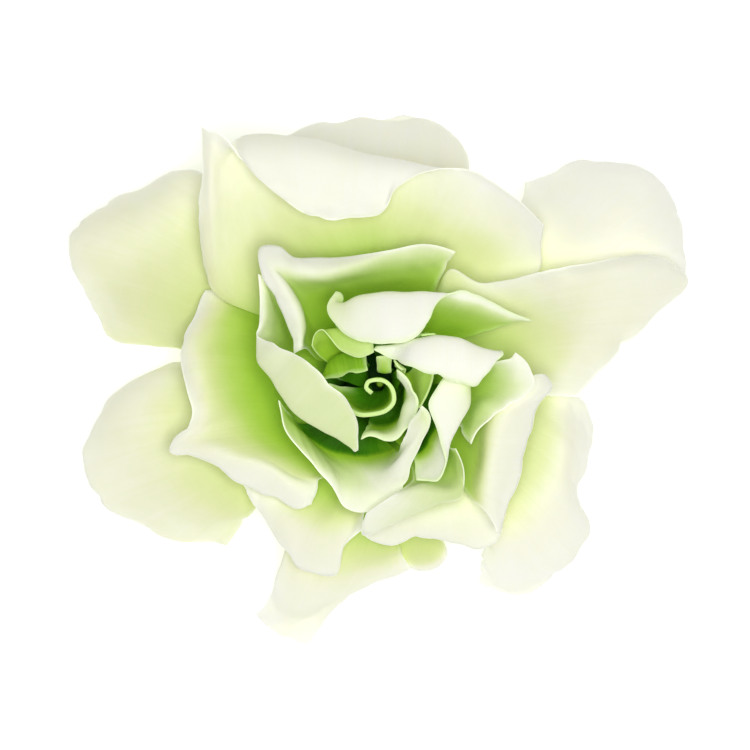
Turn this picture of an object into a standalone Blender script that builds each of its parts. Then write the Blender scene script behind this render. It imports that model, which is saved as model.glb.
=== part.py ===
"""A double gardenia, picked and laid down face up: its petals spiral round a dome on top of a green
flower tube, over a ribbed calyx with six narrow sepals and the stub of a stalk.

The bloom rests on the drooping tips of its lowest petals. +Z is up, the origin is under the middle of
the bloom at the height of the surface that it rests on, and the points below are in millimetres."""

import math

import bmesh
import bpy
import numpy as np

MM = 0.001

BLADE = 0.7  # thickness of a petal
CLEAR = 0.3  # gap between pieces that touch on the real flower
ORIGIN_X, ORIGIN_Y = -0.17, 0.7  # middle of the bloom's outline, in the frame of the points below

DOME_RADIUS = 7.0
DOME_MIDDLE = 14.5  # height of the dome's centre
# How far above the dome's equator each ring of claws leaves it, in degrees, from the lowest petals to the core.
LOWEST, OUTER, BETWEEN, INNER, HEART, CORE = 3.0, 23.0, 32.5, 42.0, 59.0, 74.0
CLAW_LENGTH = 3.0
CLAW_SPREAD = 1.3  # how much wider a claw is at its end than at its root

TUBE_PROFILE = ((2.3, 10.3), (2.7, 10.8), (3.4, 12.0), (4.9, 13.2), (6.4, 14.0))
STYLE_PROFILE = ((0.85, 21.6), (0.7, 22.6), (0.6, 23.6), (0.4, 24.3))
OVARY_PROFILE = ((1.9, 3.8), (2.6, 4.6), (3.2, 6.2), (3.4, 8.0), (3.2, 9.2), (2.6, 10.0))
STALK_PROFILE = ((1.45, 0.6), (1.6, 0.8), (1.55, 2.0), (1.75, 3.2), (1.6, 3.5))
TURNS = 24  # sides of the tube, the ovary and the stalk
RIBS = 6
RIB_DEPTH = 0.35
SEPALS = 6
SEPAL_SPINE = ((1.6, 8.4), (3.4, 9.3), (6.2, 10.3), (9.0, 11.4), (11.8, 12.5), (13.8, 13.1))
SEPAL_WIDTHS = (2.4, 2.6, 2.4, 2.0, 1.4, 0.6)
SEPAL_THICKNESS = 0.8

CREAM = (0.93, 0.93, 0.87)
WHITE = (0.96, 0.96, 0.92)
LEMON = (0.90, 0.91, 0.72)
LIME = (0.80, 0.84, 0.50)
TUBE_GREEN = (0.62, 0.72, 0.36)
CALYX_GREEN = (0.20, 0.36, 0.10)
STALK_GREEN = (0.24, 0.38, 0.14)

# Each petal: the direction in which it leaves the dome (degrees from +X towards +Y), its ring of claws, the
# claw's width, its cells across and along, its colour, and its strips. The strips lie side by side,
# counterclockwise as seen from above, and each runs from beyond the claw out to the petal's margin. The points
# are on the petal's underside.
PETALS = {
    "petal_west_upper": (146, LOWEST, 4.4, 9, 9, CREAM, (
        ((-17, 22, 15), (-27, 32.5, 12.5), (-34, 34.7, 6.5)),
        ((-20, 17, 15), (-33, 27, 13.5), (-42, 29.8, 5.5)),
        ((-22, 12, 15), (-36.5, 20, 13), (-49.6, 23.8, 7)),
        ((-24, 8, 15), (-37, 12, 11), (-48.2, 14, 3.5)),
        ((-24.5, 4, 15), (-33, 5, 9), (-44, 7.4, -2.4)),
    )),
    "petal_west_lower": (204, LOWEST, 4.4, 10, 9, CREAM, (
        ((-23.5, 2, 15), (-32.5, 3.7, 10.8), (-39.5, -0.9, 5)),
        ((-24.5, -3, 15), (-38, -4, 12), (-45.7, -6.5, 6)),
        ((-24, -8, 15), (-37, -11, 12), (-47.2, -14.5, 5)),
        ((-21.5, -12.5, 14.5), (-32, -18, 10.8), (-40.5, -21.3, 0.8)),
        ((-19, -15, 14), (-26, -21.3, 10), (-31.5, -25, -2.6)),
        ((-17, -16, 13.6), (-20.2, -21.3, 9.5), (-24.3, -25.6, 0.3)),
    )),
    "petal_south": (248, LOWEST, 3.6, 9, 11, CREAM, (
        ((-13.5, -22, 14.5), (-16, -30, 9.5), (-18, -34.5, 4.5), (-20.2, -37, 2)),
        ((-9.5, -24, 15.5), (-12.5, -32, 10), (-15.3, -37, 1.2), (-17.3, -39.8, -0.8)),
        ((-5, -25, 15.5), (-8, -32, 10.5), (-11, -37.5, 0.3), (-12.1, -42, -1)),
        ((-1, -25, 15.5), (-3, -30, 12), (-5.5, -34, 5.8), (-7, -36.2, 1.9)),
        ((3, -25, 14.5), (3.5, -27.3, 12.2), (4.2, -28.6, 10.6), (4.8, -29.4, 9)),
    )),
    "petal_south_lobe": (283, LOWEST, 2.5, 7, 8, CREAM, (
        ((1.5, -19, 13.2), (1.5, -25.5, 9), (3, -28.4, 6)),
        ((3.2, -19.5, 13.4), (4, -27.2, 9.2), (5, -29.6, 5.8)),
        ((5, -19.7, 13.6), (6.2, -27.8, 10.2), (7, -29.9, 6.8)),
        ((7, -19.5, 13.6), (8.5, -27.3, 10.9), (9.2, -29.4, 8)),
        ((8.5, -19, 13.3), (10.4, -25.3, 11), (10.7, -27.8, 10)),
    )),
    "petal_south_east": (318, LOWEST, 3.6, 11, 10, CREAM, (
        ((9, -17, 15.3), (15.8, -25.5, 11.5), (15.8, -29.5, 5.5), (15.8, -32.2, -0.5)),
        ((12, -16, 16), (19.5, -25.5, 15), (20.5, -29.5, 9), (22, -33.9, -3)),
        ((15, -13.5, 16.3), (24, -22.5, 17), (26.7, -26.5, 11.5), (30, -29.3, 2)),
        ((17.5, -10.5, 16.4), (27, -18, 18), (29.8, -21, 15.5), (31.8, -23.5, 8.5)),
        ((19, -7.5, 16.2), (28.3, -13, 18.5), (30.3, -15.5, 16.5), (32, -16.8, 12.5)),
        ((19.8, -5, 15.7), (28.8, -8, 18), (31.5, -9.5, 16), (35, -10, 12)),
        ((20, -0.5, 14.4), (28, -0.3, 14.4), (30.3, -1.3, 13.4), (32.8, -3.2, 11.8)),
    )),
    "petal_north_east": (36, LOWEST, 5.0, 10, 10, CREAM, (
        ((20.5, 8, 14.5), (38, 15, 9), (48.6, 16.5, 4)),
        ((19.5, 11.5, 15), (37, 20, 11), (48.9, 26, 4.5)),
        ((18, 14, 15.2), (33, 25, 12), (43.6, 33.8, 5)),
        ((16, 17, 15), (28, 28, 12.5), (32.4, 35.8, 6)),
        ((13.5, 19, 14.5), (21.5, 28, 11.5), (23, 32.5, 7.5)),
    )),
    "petal_north_far": (87, LOWEST, 5.0, 9, 9, CREAM, (
        ((8.5, 22, 14.5), (14, 32, 9.5), (13.7, 37, 4)),
        ((5, 24, 15), (8, 35, 11), (8.5, 42.3, -0.6)),
        ((0, 24.5, 15.2), (0, 36, 11.5), (0.5, 42.5, -2.8)),
        ((-5, 24, 15), (-8, 35.5, 11), (-6.5, 41.9, -0.3)),
        ((-8.5, 22, 14.5), (-14.5, 34, 9.5), (-15.6, 40, 3)),
    )),
    "petal_north": (100, OUTER, 5.0, 14, 13, WHITE, (
        ((17, 12, 18.5), (25, 17.5, 19), (25.5, 21.5, 20), (25.8, 23.5, 19.7), (26, 25, 19)),
        ((13, 17, 19.5), (19, 23, 22), (20, 27.5, 22.5), (20.8, 28.8, 22.2), (21.3, 29.5, 21.5)),
        ((6, 20, 22), (10, 27, 24), (12, 31.5, 25.5), (13, 33, 26.2), (13.5, 33.9, 26)),
        ((3.8, 20.3, 22.5), (7.5, 28, 24.5), (8.8, 33.2, 26.5), (8.9, 34.2, 28.2), (8, 33.6, 29.8)),
        ((1.5, 20.5, 23), (4.5, 28, 24.8), (5, 34.4, 27.5), (4.7, 34.5, 30), (2.6, 30.8, 31.1)),
        ((0, 20.5, 23), (1, 28.3, 24.8), (1.2, 35.8, 27.5), (1, 34.5, 30.7), (0.3, 27, 31.2)),
        ((-2, 20.5, 23), (-3.5, 28.5, 24.7), (-4, 37, 27.5), (-4.2, 35, 31), (-4.8, 25.9, 31.3)),
        ((-6, 19.9, 23), (-10, 27.5, 24.5), (-12, 38.5, 27), (-12, 36.5, 30.7), (-11.3, 26.4, 31.1)),
        ((-10, 18.5, 21.5), (-16, 26, 23.5), (-21, 38.1, 26.8), (-21.3, 37.4, 29.8), (-19.3, 32.4, 31)),
        ((-15, 15.5, 19.5), (-21.5, 21.5, 22), (-25, 33.5, 25.2), (-25.4, 37.2, 27.2), (-25, 39.2, 29)),
        ((-19.5, 12, 19.6), (-25.5, 16, 20.9), (-27.3, 27, 24.5), (-27.3, 34.5, 26.4), (-27.3, 40, 27.6)),
        ((-20.5, 11.3, 19.2), (-27, 15.5, 19.8), (-28.8, 26, 23), (-28, 34, 25.2), (-28.4, 40.8, 26.9)),
    )),
    "petal_west": (178, OUTER, 5.0, 14, 10, WHITE, (
        ((-13, 9.5, 16.8), (-19, 12, 16.3), (-24.5, 14, 16.3), (-28, 15, 16)),
        ((-15, 7, 18.3), (-21.5, 9.5, 18.6), (-27, 10.5, 19), (-29.8, 10.5, 18.5)),
        ((-16.5, 3.5, 19), (-23, 5, 20), (-29, 5.5, 20.8), (-31.7, 5, 20)),
        ((-17, -0.5, 19.5), (-24, 0, 21), (-28.5, -0.5, 21.8), (-30.8, -1, 21.8)),
        ((-16.5, -4.5, 19.8), (-23.5, -5, 21.5), (-28, -6, 22.3), (-30, -5.5, 22.3)),
        ((-15.5, -7.5, 20), (-22.5, -8.5, 21.8), (-29.5, -9.5, 22), (-33.5, -10.8, 20.5)),
        ((-14, -9.5, 20), (-20, -10.8, 22.5), (-25, -11.5, 23), (-27, -12.8, 20.5)),
        ((-12, -11.5, 20), (-16.5, -13, 22.8), (-18.5, -13.8, 23.5), (-20.5, -16.8, 21)),
        ((-10.5, -12.8, 20.2), (-13.5, -15, 22.5), (-14, -16.3, 23.3), (-14.3, -19.8, 21.5)),
        ((-8.5, -14, 20.2), (-9.8, -15.5, 21.8), (-10, -17, 22), (-10.8, -19.3, 21.8)),
    )),
    "petal_south_west": (243, OUTER, 4.6, 9, 9, WHITE, (
        ((-10.5, -13.5, 17), (-18, -15.5, 17.2), (-22.3, -15.8, 17)),
        ((-9, -15.5, 17.6), (-15.5, -19, 18.3), (-19.7, -20, 17)),
        ((-7.5, -16.5, 18.3), (-12.5, -22, 19.5), (-16.1, -25.6, 16.5)),
        ((-6, -17, 18.5), (-10, -23.5, 20), (-12.5, -29.7, 15.5)),
        ((-4.5, -17.3, 18.5), (-7.5, -23.5, 20.3), (-7, -31, 15)),
        ((-2.8, -17.3, 18.3), (-4.5, -22.5, 20.3), (-6, -26.3, 18.5)),
        ((-1.5, -17, 18), (-2.5, -20.5, 19.5), (-2.7, -23.4, 20)),
    )),
    "petal_south_mid": (295, OUTER, 4.6, 10, 9, WHITE, (
        ((0.5, -15, 18.5), (-0.5, -20, 20), (-2.5, -24.6, 19.5)),
        ((3, -15.5, 19), (3, -20.5, 21.5), (1.5, -26, 19)),
        ((5.5, -15.5, 19.3), (6.5, -20.5, 22.5), (6, -24.9, 21)),
        ((8, -15, 19.5), (10, -20, 23), (11, -25.3, 21)),
        ((10.5, -13.5, 19.5), (14, -18.5, 23), (16, -26.5, 20)),
        ((12.5, -11.5, 19.3), (17, -16.5, 22.5), (19, -24.5, 21.5)),
        ((13.5, -9.5, 19), (18.5, -13.5, 21.5), (20.5, -19, 21.5)),
    )),
    "petal_east": (18, OUTER, 4.4, 10, 11, WHITE, (
        ((13, -1.5, 19.2), (19, -1.5, 20), (26, -2, 19), (31.3, -2.2, 17.5)),
        ((13.5, 2, 20), (21.5, 3, 21.3), (30.5, 3.5, 18.5), (35.3, 1.8, 16)),
        ((12, 5.5, 21), (22, 7.5, 23), (33, 9, 18), (42.5, 9.3, 12.5)),
        ((11.5, 8.5, 22.8), (20.5, 11, 25), (32, 13.5, 19), (49.6, 15.8, 9.5)),
        ((10.8, 11, 25), (18, 12.8, 27.2), (31, 15.4, 20.3), (47.3, 18.8, 10.8)),
        ((10.3, 13.3, 27), (16.3, 14.2, 28.6), (29.5, 17, 21.8), (44.3, 20.1, 12.3)),
        ((10.6, 17.7, 30.2), (16.2, 15.9, 29.3), (28, 18.2, 22.7), (41, 20.4, 13.8)),
    )),
    "petal_inner_north": (106, INNER, 3.8, 13, 11, WHITE, (
        ((7.5, 13, 22.5), (9.5, 16.5, 26), (11, 19.5, 28.8), (12, 20.8, 29.5)),
        ((4, 14, 22.5), (5.5, 17.5, 27), (6.5, 20.3, 30.5), (7, 22, 31)),
        ((0.5, 14, 22.5), (1.5, 17, 27.5), (1.5, 19.9, 31.5), (1.5, 21, 31.8)),
        ((-3, 13.5, 22.5), (-3, 16.5, 27.5), (-4, 18.5, 32), (-4, 20.1, 31.5)),
        ((-6.5, 12.5, 22.5), (-7.5, 15.5, 27.5), (-9, 17.5, 32.3), (-9, 20, 31.5)),
        ((-8.2, 11, 22.5), (-10.8, 14.8, 27.5), (-13, 17.7, 32.8), (-13.6, 19.9, 32)),
        ((-8.9, 9.4, 22.5), (-12.2, 13.8, 27.5), (-15.3, 18.3, 33.5), (-15.9, 21.6, 32.6)),
        ((-9.4, 7.8, 22.7), (-13, 12.3, 27.5), (-16.7, 17.8, 33.8), (-19, 21.4, 32.5)),
        ((-9.7, 6.4, 23.4), (-12.5, 10.3, 27.5), (-14.7, 14.6, 33.5), (-18.5, 16.9, 32.5)),
        ((-9.6, 5, 23.8), (-12, 8, 27.5), (-12.8, 10.4, 33), (-15.3, 11, 32.2)),
        ((-9.3, 3.5, 24), (-11.6, 5.2, 27.5), (-12.4, 5.3, 32), (-13.6, 4.6, 31.6)),
    )),
    "petal_inner_west": (168, INNER, 3.8, 12, 11, WHITE, (
        ((-12.8, 9, 20.4), (-16, 13.5, 25), (-18.3, 16.5, 29.5), (-19.3, 17.3, 30)),
        ((-13.2, 6.6, 20.6), (-16.5, 11, 25.5), (-18, 13.5, 30), (-19, 13.5, 30.5)),
        ((-13.3, 4.5, 21), (-16.5, 8, 26), (-18.3, 9.5, 31), (-19, 9.5, 31.3)),
        ((-13.3, 2.3, 21), (-16.8, 5, 27), (-19.3, 6.3, 31.5), (-19.4, 7.6, 33)),
        ((-13.2, 1.2, 21), (-16.8, 3.2, 27.5), (-19.5, 4, 33), (-17.2, 6.5, 35.8)),
        ((-13, 0, 21), (-16.5, 1.5, 28), (-18.3, 2.5, 34.5), (-15.3, 5.5, 37)),
        ((-12.3, -2.5, 21), (-14.5, -1.5, 29), (-15.3, -1.5, 36), (-11.3, 3.4, 38.5)),
        ((-11, -4.5, 22.3), (-12.3, -4.3, 29), (-12.6, -4.7, 36), (-7.8, -0.1, 38.5)),
        ((-9.3, -6, 23.4), (-9.3, -6.5, 29), (-8.8, -7.1, 36), (-4.8, -3.2, 38)),
        ((-7.5, -7.3, 24.2), (-6.8, -8.3, 29), (-5.8, -9.2, 35.5), (-3.4, -6.8, 36.5)),
        ((-6, -8, 24.8), (-5, -9.3, 29.4), (-4.2, -10.8, 34.5), (-3.4, -10.6, 34.8)),
    )),
    "petal_inner_south": (245, INNER, 3.8, 12, 10, WHITE, (
        ((-12.5, -6.5, 22), (-14.3, -5, 25.5), (-15.3, -3.8, 28.5), (-16, -2.7, 30)),
        ((-11.8, -8, 22), (-13.3, -7.3, 25.5), (-14.5, -6.5, 28.5), (-15.2, -7, 30.5)),
        ((-10.5, -9.3, 22), (-11, -10.3, 25.5), (-11.4, -10.7, 28.5), (-12.2, -11.1, 30)),
        ((-9, -10.3, 22.3), (-8.5, -12.5, 25.5), (-7.8, -14.5, 28), (-7.7, -16.3, 28.5)),
        ((-7.5, -11, 22.5), (-5.5, -14.5, 25.5), (-5.3, -17.5, 27), (-5.3, -19.9, 27.3)),
        ((-5.5, -11.5, 22.8), (-3, -15.3, 26), (-2, -18, 27.5), (-1, -20.2, 27.5)),
        ((-3.5, -12, 23), (-1, -15, 27), (1.5, -16.5, 29), (3.8, -16.8, 30)),
        ((-1.5, -12, 23.3), (1, -14, 28.3), (3.3, -13, 31.5), (5.2, -11.7, 34)),
        ((0.5, -11.5, 23.5), (2.5, -12.5, 29), (4.6, -9.5, 34), (8.1, -6, 36.6)),
        ((2.5, -10.5, 24), (3, -10.5, 29), (3.7, -8, 34.3), (6.5, -3.4, 37.4)),
    )),
    "petal_inner_south_east": (297, INNER, 2.6, 9, 11, WHITE, (
        ((4, -11, 23.5), (5, -15.3, 29), (2.5, -17.3, 33), (-2.2, -20.5, 30)),
        ((5.2, -11.3, 23.5), (6.2, -15.6, 29.5), (5, -17.2, 34), (-2.8, -24.2, 26)),
        ((6.5, -11.3, 23.5), (7.5, -15.7, 30), (7, -17.2, 34.3), (2, -22.5, 28)),
        ((7.8, -11, 23.5), (9, -15.5, 30), (9.3, -17.4, 34.3), (6, -20.5, 30.5)),
        ((8.3, -10.8, 23.5), (10.6, -15.2, 30), (11.3, -17.2, 34), (9.5, -18.9, 32.5)),
        ((9.2, -10, 23.5), (11.8, -13.8, 30), (12.8, -15.8, 33.5), (12.6, -18.1, 33.3)),
        ((9.8, -9, 23.5), (11.8, -11.8, 29.5), (12.7, -12.8, 32.5), (13.3, -14, 34)),
        ((10, -8.3, 23.5), (11, -10, 28.5), (11.5, -10.3, 31.5), (12, -10.3, 33)),
    )),
    "petal_outer_fold_south_east": (333, BETWEEN, 2.6, 9, 10, WHITE, (
        ((9.5, -12, 21.5), (13.5, -17.5, 25.5), (16.6, -20.3, 29), (18.3, -23.8, 26.5)),
        ((11, -11, 21.5), (14.7, -15, 26), (17, -17, 30), (20.7, -18.5, 27.5)),
        ((12, -9.5, 21.5), (15.5, -12, 26.5), (17.5, -13, 31), (22.7, -13, 28)),
        ((12.8, -8, 21.5), (16, -9, 27), (18.3, -9, 31.5), (23.8, -9, 28.5)),
        ((13.3, -6, 21.5), (16.8, -6, 27), (19.5, -5, 32), (25, -4.3, 29)),
        ((13.5, -4, 21.5), (17.8, -3.3, 27), (21.8, -2.2, 32), (27.3, -0.8, 29.5)),
        ((13.3, -2, 21.5), (18.3, -0.8, 27), (22.5, 0.8, 31), (26, 1.6, 29.5)),
    )),
    "petal_inner_east": (5, INNER, 2.6, 9, 9, WHITE, (
        ((9.5, -4.5, 22.5), (12, -6.8, 26), (13.3, -8.3, 29), (14.4, -9.9, 31)),
        ((10.2, -3.5, 22.5), (13.5, -5, 26.5), (14.7, -6.8, 30), (16, -7, 32.5)),
        ((10.8, -2.3, 22.5), (15, -3, 27), (16.8, -3.9, 31.5), (18.2, -4.9, 33)),
        ((11, -1, 22.5), (16.3, -1.3, 28), (19.8, -2.8, 32.5), (21, -3.6, 33.5)),
        ((11.2, 0.5, 22.5), (17, 0.5, 28.5), (22, -0.5, 33), (24.3, -0.5, 33.5)),
        ((11, 1.8, 22.5), (16.8, 2, 28.5), (21.5, 2, 33.5), (23.8, 2.3, 34.5)),
        ((10.5, 3, 22.8), (16, 3.3, 29), (20, 3.7, 34), (21.3, 5, 34.5)),
    )),
    "petal_heart_north": (85, HEART, 1.8, 12, 12, LEMON, (
        ((10.5, 6.5, 24.5), (18, 8.5, 28), (22.5, 9.8, 29.5), (24, 10, 29.3)),
        ((9.8, 7.7, 25), (16, 9.8, 30), (19, 11, 32.5), (20.3, 11.4, 32.5)),
        ((8.5, 8.5, 25.5), (13, 11, 31.5), (15.3, 12.6, 34.5), (16.8, 13.2, 34.5)),
        ((7, 9, 26), (10.5, 11.8, 32), (12, 13.6, 35.5), (12.8, 14.7, 36)),
        ((5, 9, 26.3), (7.5, 11.8, 32), (9.5, 14.3, 36.5), (9.2, 12.8, 38)),
        ((3, 9, 26.5), (4.5, 11.8, 32), (6.5, 14.4, 36.8), (7, 8.6, 38.8)),
        ((1, 9, 26.5), (1.5, 11.5, 32), (2.5, 14.2, 36.8), (4.3, 6.6, 39.5)),
        ((-1, 8.8, 26.5), (-1.5, 11.2, 32), (-1, 14, 36.5), (0, 6.1, 39)),
        ((-2.7, 8.3, 26), (-4, 10.7, 31.5), (-4, 13.5, 35.8), (-4.3, 6.9, 37.8)),
        ((-3.8, 7.6, 25.5), (-5.5, 9.9, 31), (-5.8, 12.7, 35), (-6.9, 9, 36.7)),
        ((-4.5, 7.1, 25.2), (-6.4, 9.6, 30.6), (-6.7, 12.9, 34.5), (-8.4, 11.9, 36)),
        ((-5.2, 6.8, 25), (-7, 9.4, 30.1), (-5.7, 13.5, 33.5), (-6.9, 14.5, 34.7)),
    )),
    "petal_heart_east": (30, HEART, 1.8, 9, 11, LEMON, (
        ((9.5, 3.5, 24), (15.5, 4.5, 31), (19.0, 5.2, 35.6), (19.2, 4.6, 37.6)),
        ((9, 4.3, 24.5), (14, 5.2, 32), (17, 5.2, 38), (16.6, 1.2, 39)),
        ((8, 5, 25), (12, 6, 33), (14.3, 6, 39), (14.8, -0.6, 39.8)),
        ((7, 5.5, 25), (10, 6.6, 33.5), (12, 6.8, 39.5), (11.5, 0.3, 40.3)),
        ((5.5, 5.8, 25.5), (7.8, 6.8, 34), (9, 7.1, 39.8), (8, 1.3, 40.8)),
        ((4.3, 5.8, 26), (5.5, 6.6, 34), (5.8, 6.7, 39), (4.5, 2.6, 40.5)),
        ((3.3, 5.1, 26.4), (3.2, 6.2, 34), (2.8, 6, 37), (1.5, 3.9, 37.8)),
        ((2.4, 4.6, 26.6), (1, 5.6, 33.5), (-0.6, 5.7, 36.2), (-0.9, 5.4, 37.3)),
    )),
    "petal_heart_south_east": (322, HEART, 2.8, 10, 11, LEMON, (
        ((5.2, -9, 25), (5.5, -12.3, 29), (5.5, -13.9, 31.2), (5.7, -15.4, 33)),
        ((6, -9, 25.5), (6.8, -12.3, 29.5), (7, -14.2, 31.8), (7.2, -15.5, 33.3)),
        ((7, -8.5, 26), (8.5, -11.3, 30.5), (9.2, -13.5, 33), (9.3, -15.4, 34.4)),
        ((7.8, -7.5, 26), (9.3, -10, 31), (10.7, -11.7, 34), (10.3, -12.9, 35)),
        ((8.5, -6.5, 26), (10.3, -8.3, 31.5), (11.4, -9, 35.5), (9.4, -9.3, 37.1)),
        ((9.3, -5, 26), (12, -5.8, 32), (12.6, -6.3, 36.8), (8.8, -7.2, 38)),
        ((9.8, -3.2, 26), (13.6, -3.2, 32.5), (13.7, -3.5, 37), (7.6, -3.4, 38.5)),
        ((9.8, -1.5, 26), (13.8, -1, 32.5), (13.8, -0.8, 37), (8.9, -0.6, 38.3)),
        ((9.5, 0, 26), (13.5, 0.7, 32), (13.3, 1, 36), (10, 0.7, 37)),
    )),
    "petal_heart_north_west": (145, HEART, 2.8, 8, 9, LEMON, (
        ((-1.5, 5.5, 26), (-1.5, 7.5, 30), (-1, 8, 33), (-0.8, 4.8, 34)),
        ((-3, 5.3, 26), (-4, 7.8, 30), (-4.5, 8.3, 33.3), (-3, 3.9, 34.5)),
        ((-4.5, 4.8, 26), (-6.3, 7.5, 30), (-7.3, 8.6, 33.3), (-6, 5, 34.3)),
        ((-5.7, 4, 26), (-7.8, 6.6, 30), (-9.0, 8.4, 32.6), (-8.6, 8.4, 34.2)),
        ((-6.4, 3, 26), (-8.8, 5.4, 29.5), (-10, 7.2, 32), (-10.2, 8, 33)),
        ((-6.9, 2, 26), (-9.4, 3.9, 29), (-10.5, 5.3, 31), (-10.9, 5.9, 32)),
    )),
    "petal_core_east": (359, CORE, 1.4, 6, 7, LIME, (
        ((5.1, -3.4, 25.3), (5.9, -4, 28.5), (6.7, -4.1, 30.3)),
        ((5.3, -2.3, 25.4), (6.8, -2.3, 28.7), (7.8, -1.9, 30.4)),
        ((5.4, -0.8, 25.5), (7.1, -0.3, 28.7), (8.3, 0.6, 30.6)),
        ((5.2, 0.7, 25.3), (6.7, 1.6, 28.7), (8, 2.8, 31)),
        ((4.6, 1.8, 25.2), (5.6, 3, 28.3), (6.3, 4, 31.2)),
    )),
    "petal_core_crescent": (285, CORE, 1.5, 9, 8, LIME, (
        ((-1.8, -5.8, 25), (-2.3, -7.2, 28.5), (-2.7, -8, 31.5), (-3, -9, 32)),
        ((-0.8, -6.3, 25), (-1, -7.5, 28.5), (-1.3, -7.8, 31.8), (-1.5, -8.4, 32.5)),
        ((0.4, -6.3, 25), (0.6, -7.6, 28.5), (0.7, -8.3, 31.8), (0.8, -9.2, 32.3)),
        ((1.7, -6, 25), (2.2, -7, 28.5), (2.6, -7.8, 31.8), (2.9, -8.9, 32.5)),
        ((2.9, -5, 25.2), (3.6, -5.7, 28.5), (3.7, -5.7, 31.2), (5.1, -6.2, 33)),
        ((3.4, -3.6, 26.3), (4.1, -3.9, 28.8), (4.2, -3.8, 31.6), (5.8, -3.7, 33.6)),
        ((3.6, -2.3, 27), (4.4, -2.2, 29.2), (4.9, -2, 32.2), (5.7, -1.6, 34)),
        ((3.8, -1.1, 26.8), (4.3, -0.5, 29), (4.2, -0.4, 32.2), (4.5, 0.8, 34.3)),
        ((3.3, 0, 26.9), (3.5, 0.7, 29), (2.8, 1.1, 32.2), (2.7, 2.2, 34)),
    )),
    "petal_core_west": (165, CORE, 1.5, 7, 8, LIME, (
        ((-1.6, 3, 25.5), (-2, 3.8, 28), (-2.2, 4.2, 30.5), (-1.8, 2, 31.3)),
        ((-3, 3, 25.5), (-4.2, 4, 28), (-5, 4.8, 30.5), (-4.3, 1.2, 31.3)),
        ((-4.2, 2.2, 25.6), (-5.9, 3.3, 28.2), (-6.9, 4.2, 30.5), (-6.4, 0.8, 31.2)),
        ((-5.0, 1.0, 25.8), (-6.9, 1.8, 28.2), (-8.3, 2.8, 30.2), (-8.2, 0.6, 31)),
        ((-5.3, 0.2, 25.8), (-7.4, 0.6, 28), (-9.0, 1.4, 29.8), (-9.4, 0.4, 30.3)),
    )),
    "petal_core_small": (70, CORE, 1.4, 5, 8, LIME, (
        ((1.8, 2.2, 26), (1.7, 2, 29.5), (1.7, 2.4, 32.2), (1.7, 4.2, 34)),
        ((0.8, 2.6, 26), (0.7, 1.9, 29.5), (0.6, 2.2, 32.4), (0.8, 4.4, 34.6)),
        ((-0.1, 2.8, 26), (-0.3, 2, 29.5), (-0.5, 2.5, 32), (-0.6, 4.2, 34)),
    )),
}

# The innermost petal is rolled up round the tip of the style. Each strip runs from its lower edge to its margin.
SCROLL_STRIPS = (
    ((-1.7, -0.3, 25), (-3.7, -0.7, 26.3), (-8.3, -0.1, 28.8)),
    ((-1.5, -1, 24.7), (-3.5, -2.2, 26.1), (-7.4, -2.3, 29)),
    ((-1.15, -1.4, 24.5), (-2.9, -3.2, 26), (-6, -4, 30)),
    ((-0.75, -1.6, 24.4), (-2.1, -3.7, 26.3), (-3.8, -5.2, 31.5)),
    ((-0.25, -1.65, 24.4), (-0.9, -3.8, 26.5), (-1.3, -5.3, 32.3)),
    ((0.3, -1.6, 24.4), (0.5, -3.3, 26.5), (1, -4.7, 32.8)),
    ((0.8, -1.35, 24.5), (1.4, -2.3, 26.3), (2.4, -3.2, 33)),
    ((1.2, -0.85, 24.8), (1.7, -1.2, 26.5), (2.4, -1.5, 33)),
    ((1.3, -0.1, 25.4), (1.5, 0, 27.3), (1.6, 0, 33)),
    ((0.4, 0.7, 26.5), (0.3, 0.85, 28.4), (0, 0.9, 33)),
    ((-1.1, 0.7, 27.2), (-1.5, 0.7, 29), (-2.1, 0.6, 33)),
    ((-2.3, -0.1, 27.9), (-2.5, -0.3, 29.3), (-2.6, -0.8, 32.8)),
    ((-1.8, -1.4, 29.2), (-1.8, -1.6, 30.2), (-1.4, -1.9, 32)),
)


def knots_of(points):
    """Knots for all the curves down the first axis, closer together where the points are."""
    steps = np.sqrt(np.linalg.norm(np.diff(points, axis=0), axis=2).mean(axis=1))
    return np.concatenate([[0.0], np.cumsum(steps)]) / steps.sum()


def smooth_curves(points, count):
    """Count points along each smooth curve that runs through the points down the first axis."""
    knots = knots_of(points)
    spans = np.diff(knots)[:, None, None]
    slopes = np.diff(points, axis=0) / spans
    tangents = np.empty_like(points)
    tangents[1:-1] = (spans[1:] * slopes[:-1] + spans[:-1] * slopes[1:]) / (spans[1:] + spans[:-1])
    tangents[0] = 1.5 * slopes[0] - 0.5 * tangents[1]
    tangents[-1] = 1.5 * slopes[-1] - 0.5 * tangents[-2]
    at = np.linspace(0.0, 1.0, count)
    span = np.clip(np.searchsorted(knots, at, side="right") - 1, 0, len(knots) - 2)
    s = ((at - knots[span])[:, None, None]) / spans[span]
    start = (2 * s**3 - 3 * s**2 + 1) * points[span]
    leave = (s**3 - 2 * s**2 + s) * spans[span] * tangents[span]
    end = (3 * s**2 - 2 * s**3) * points[span + 1]
    arrive = (s**3 - s**2) * spans[span] * tangents[span + 1]
    return start + leave + end + arrive


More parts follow.
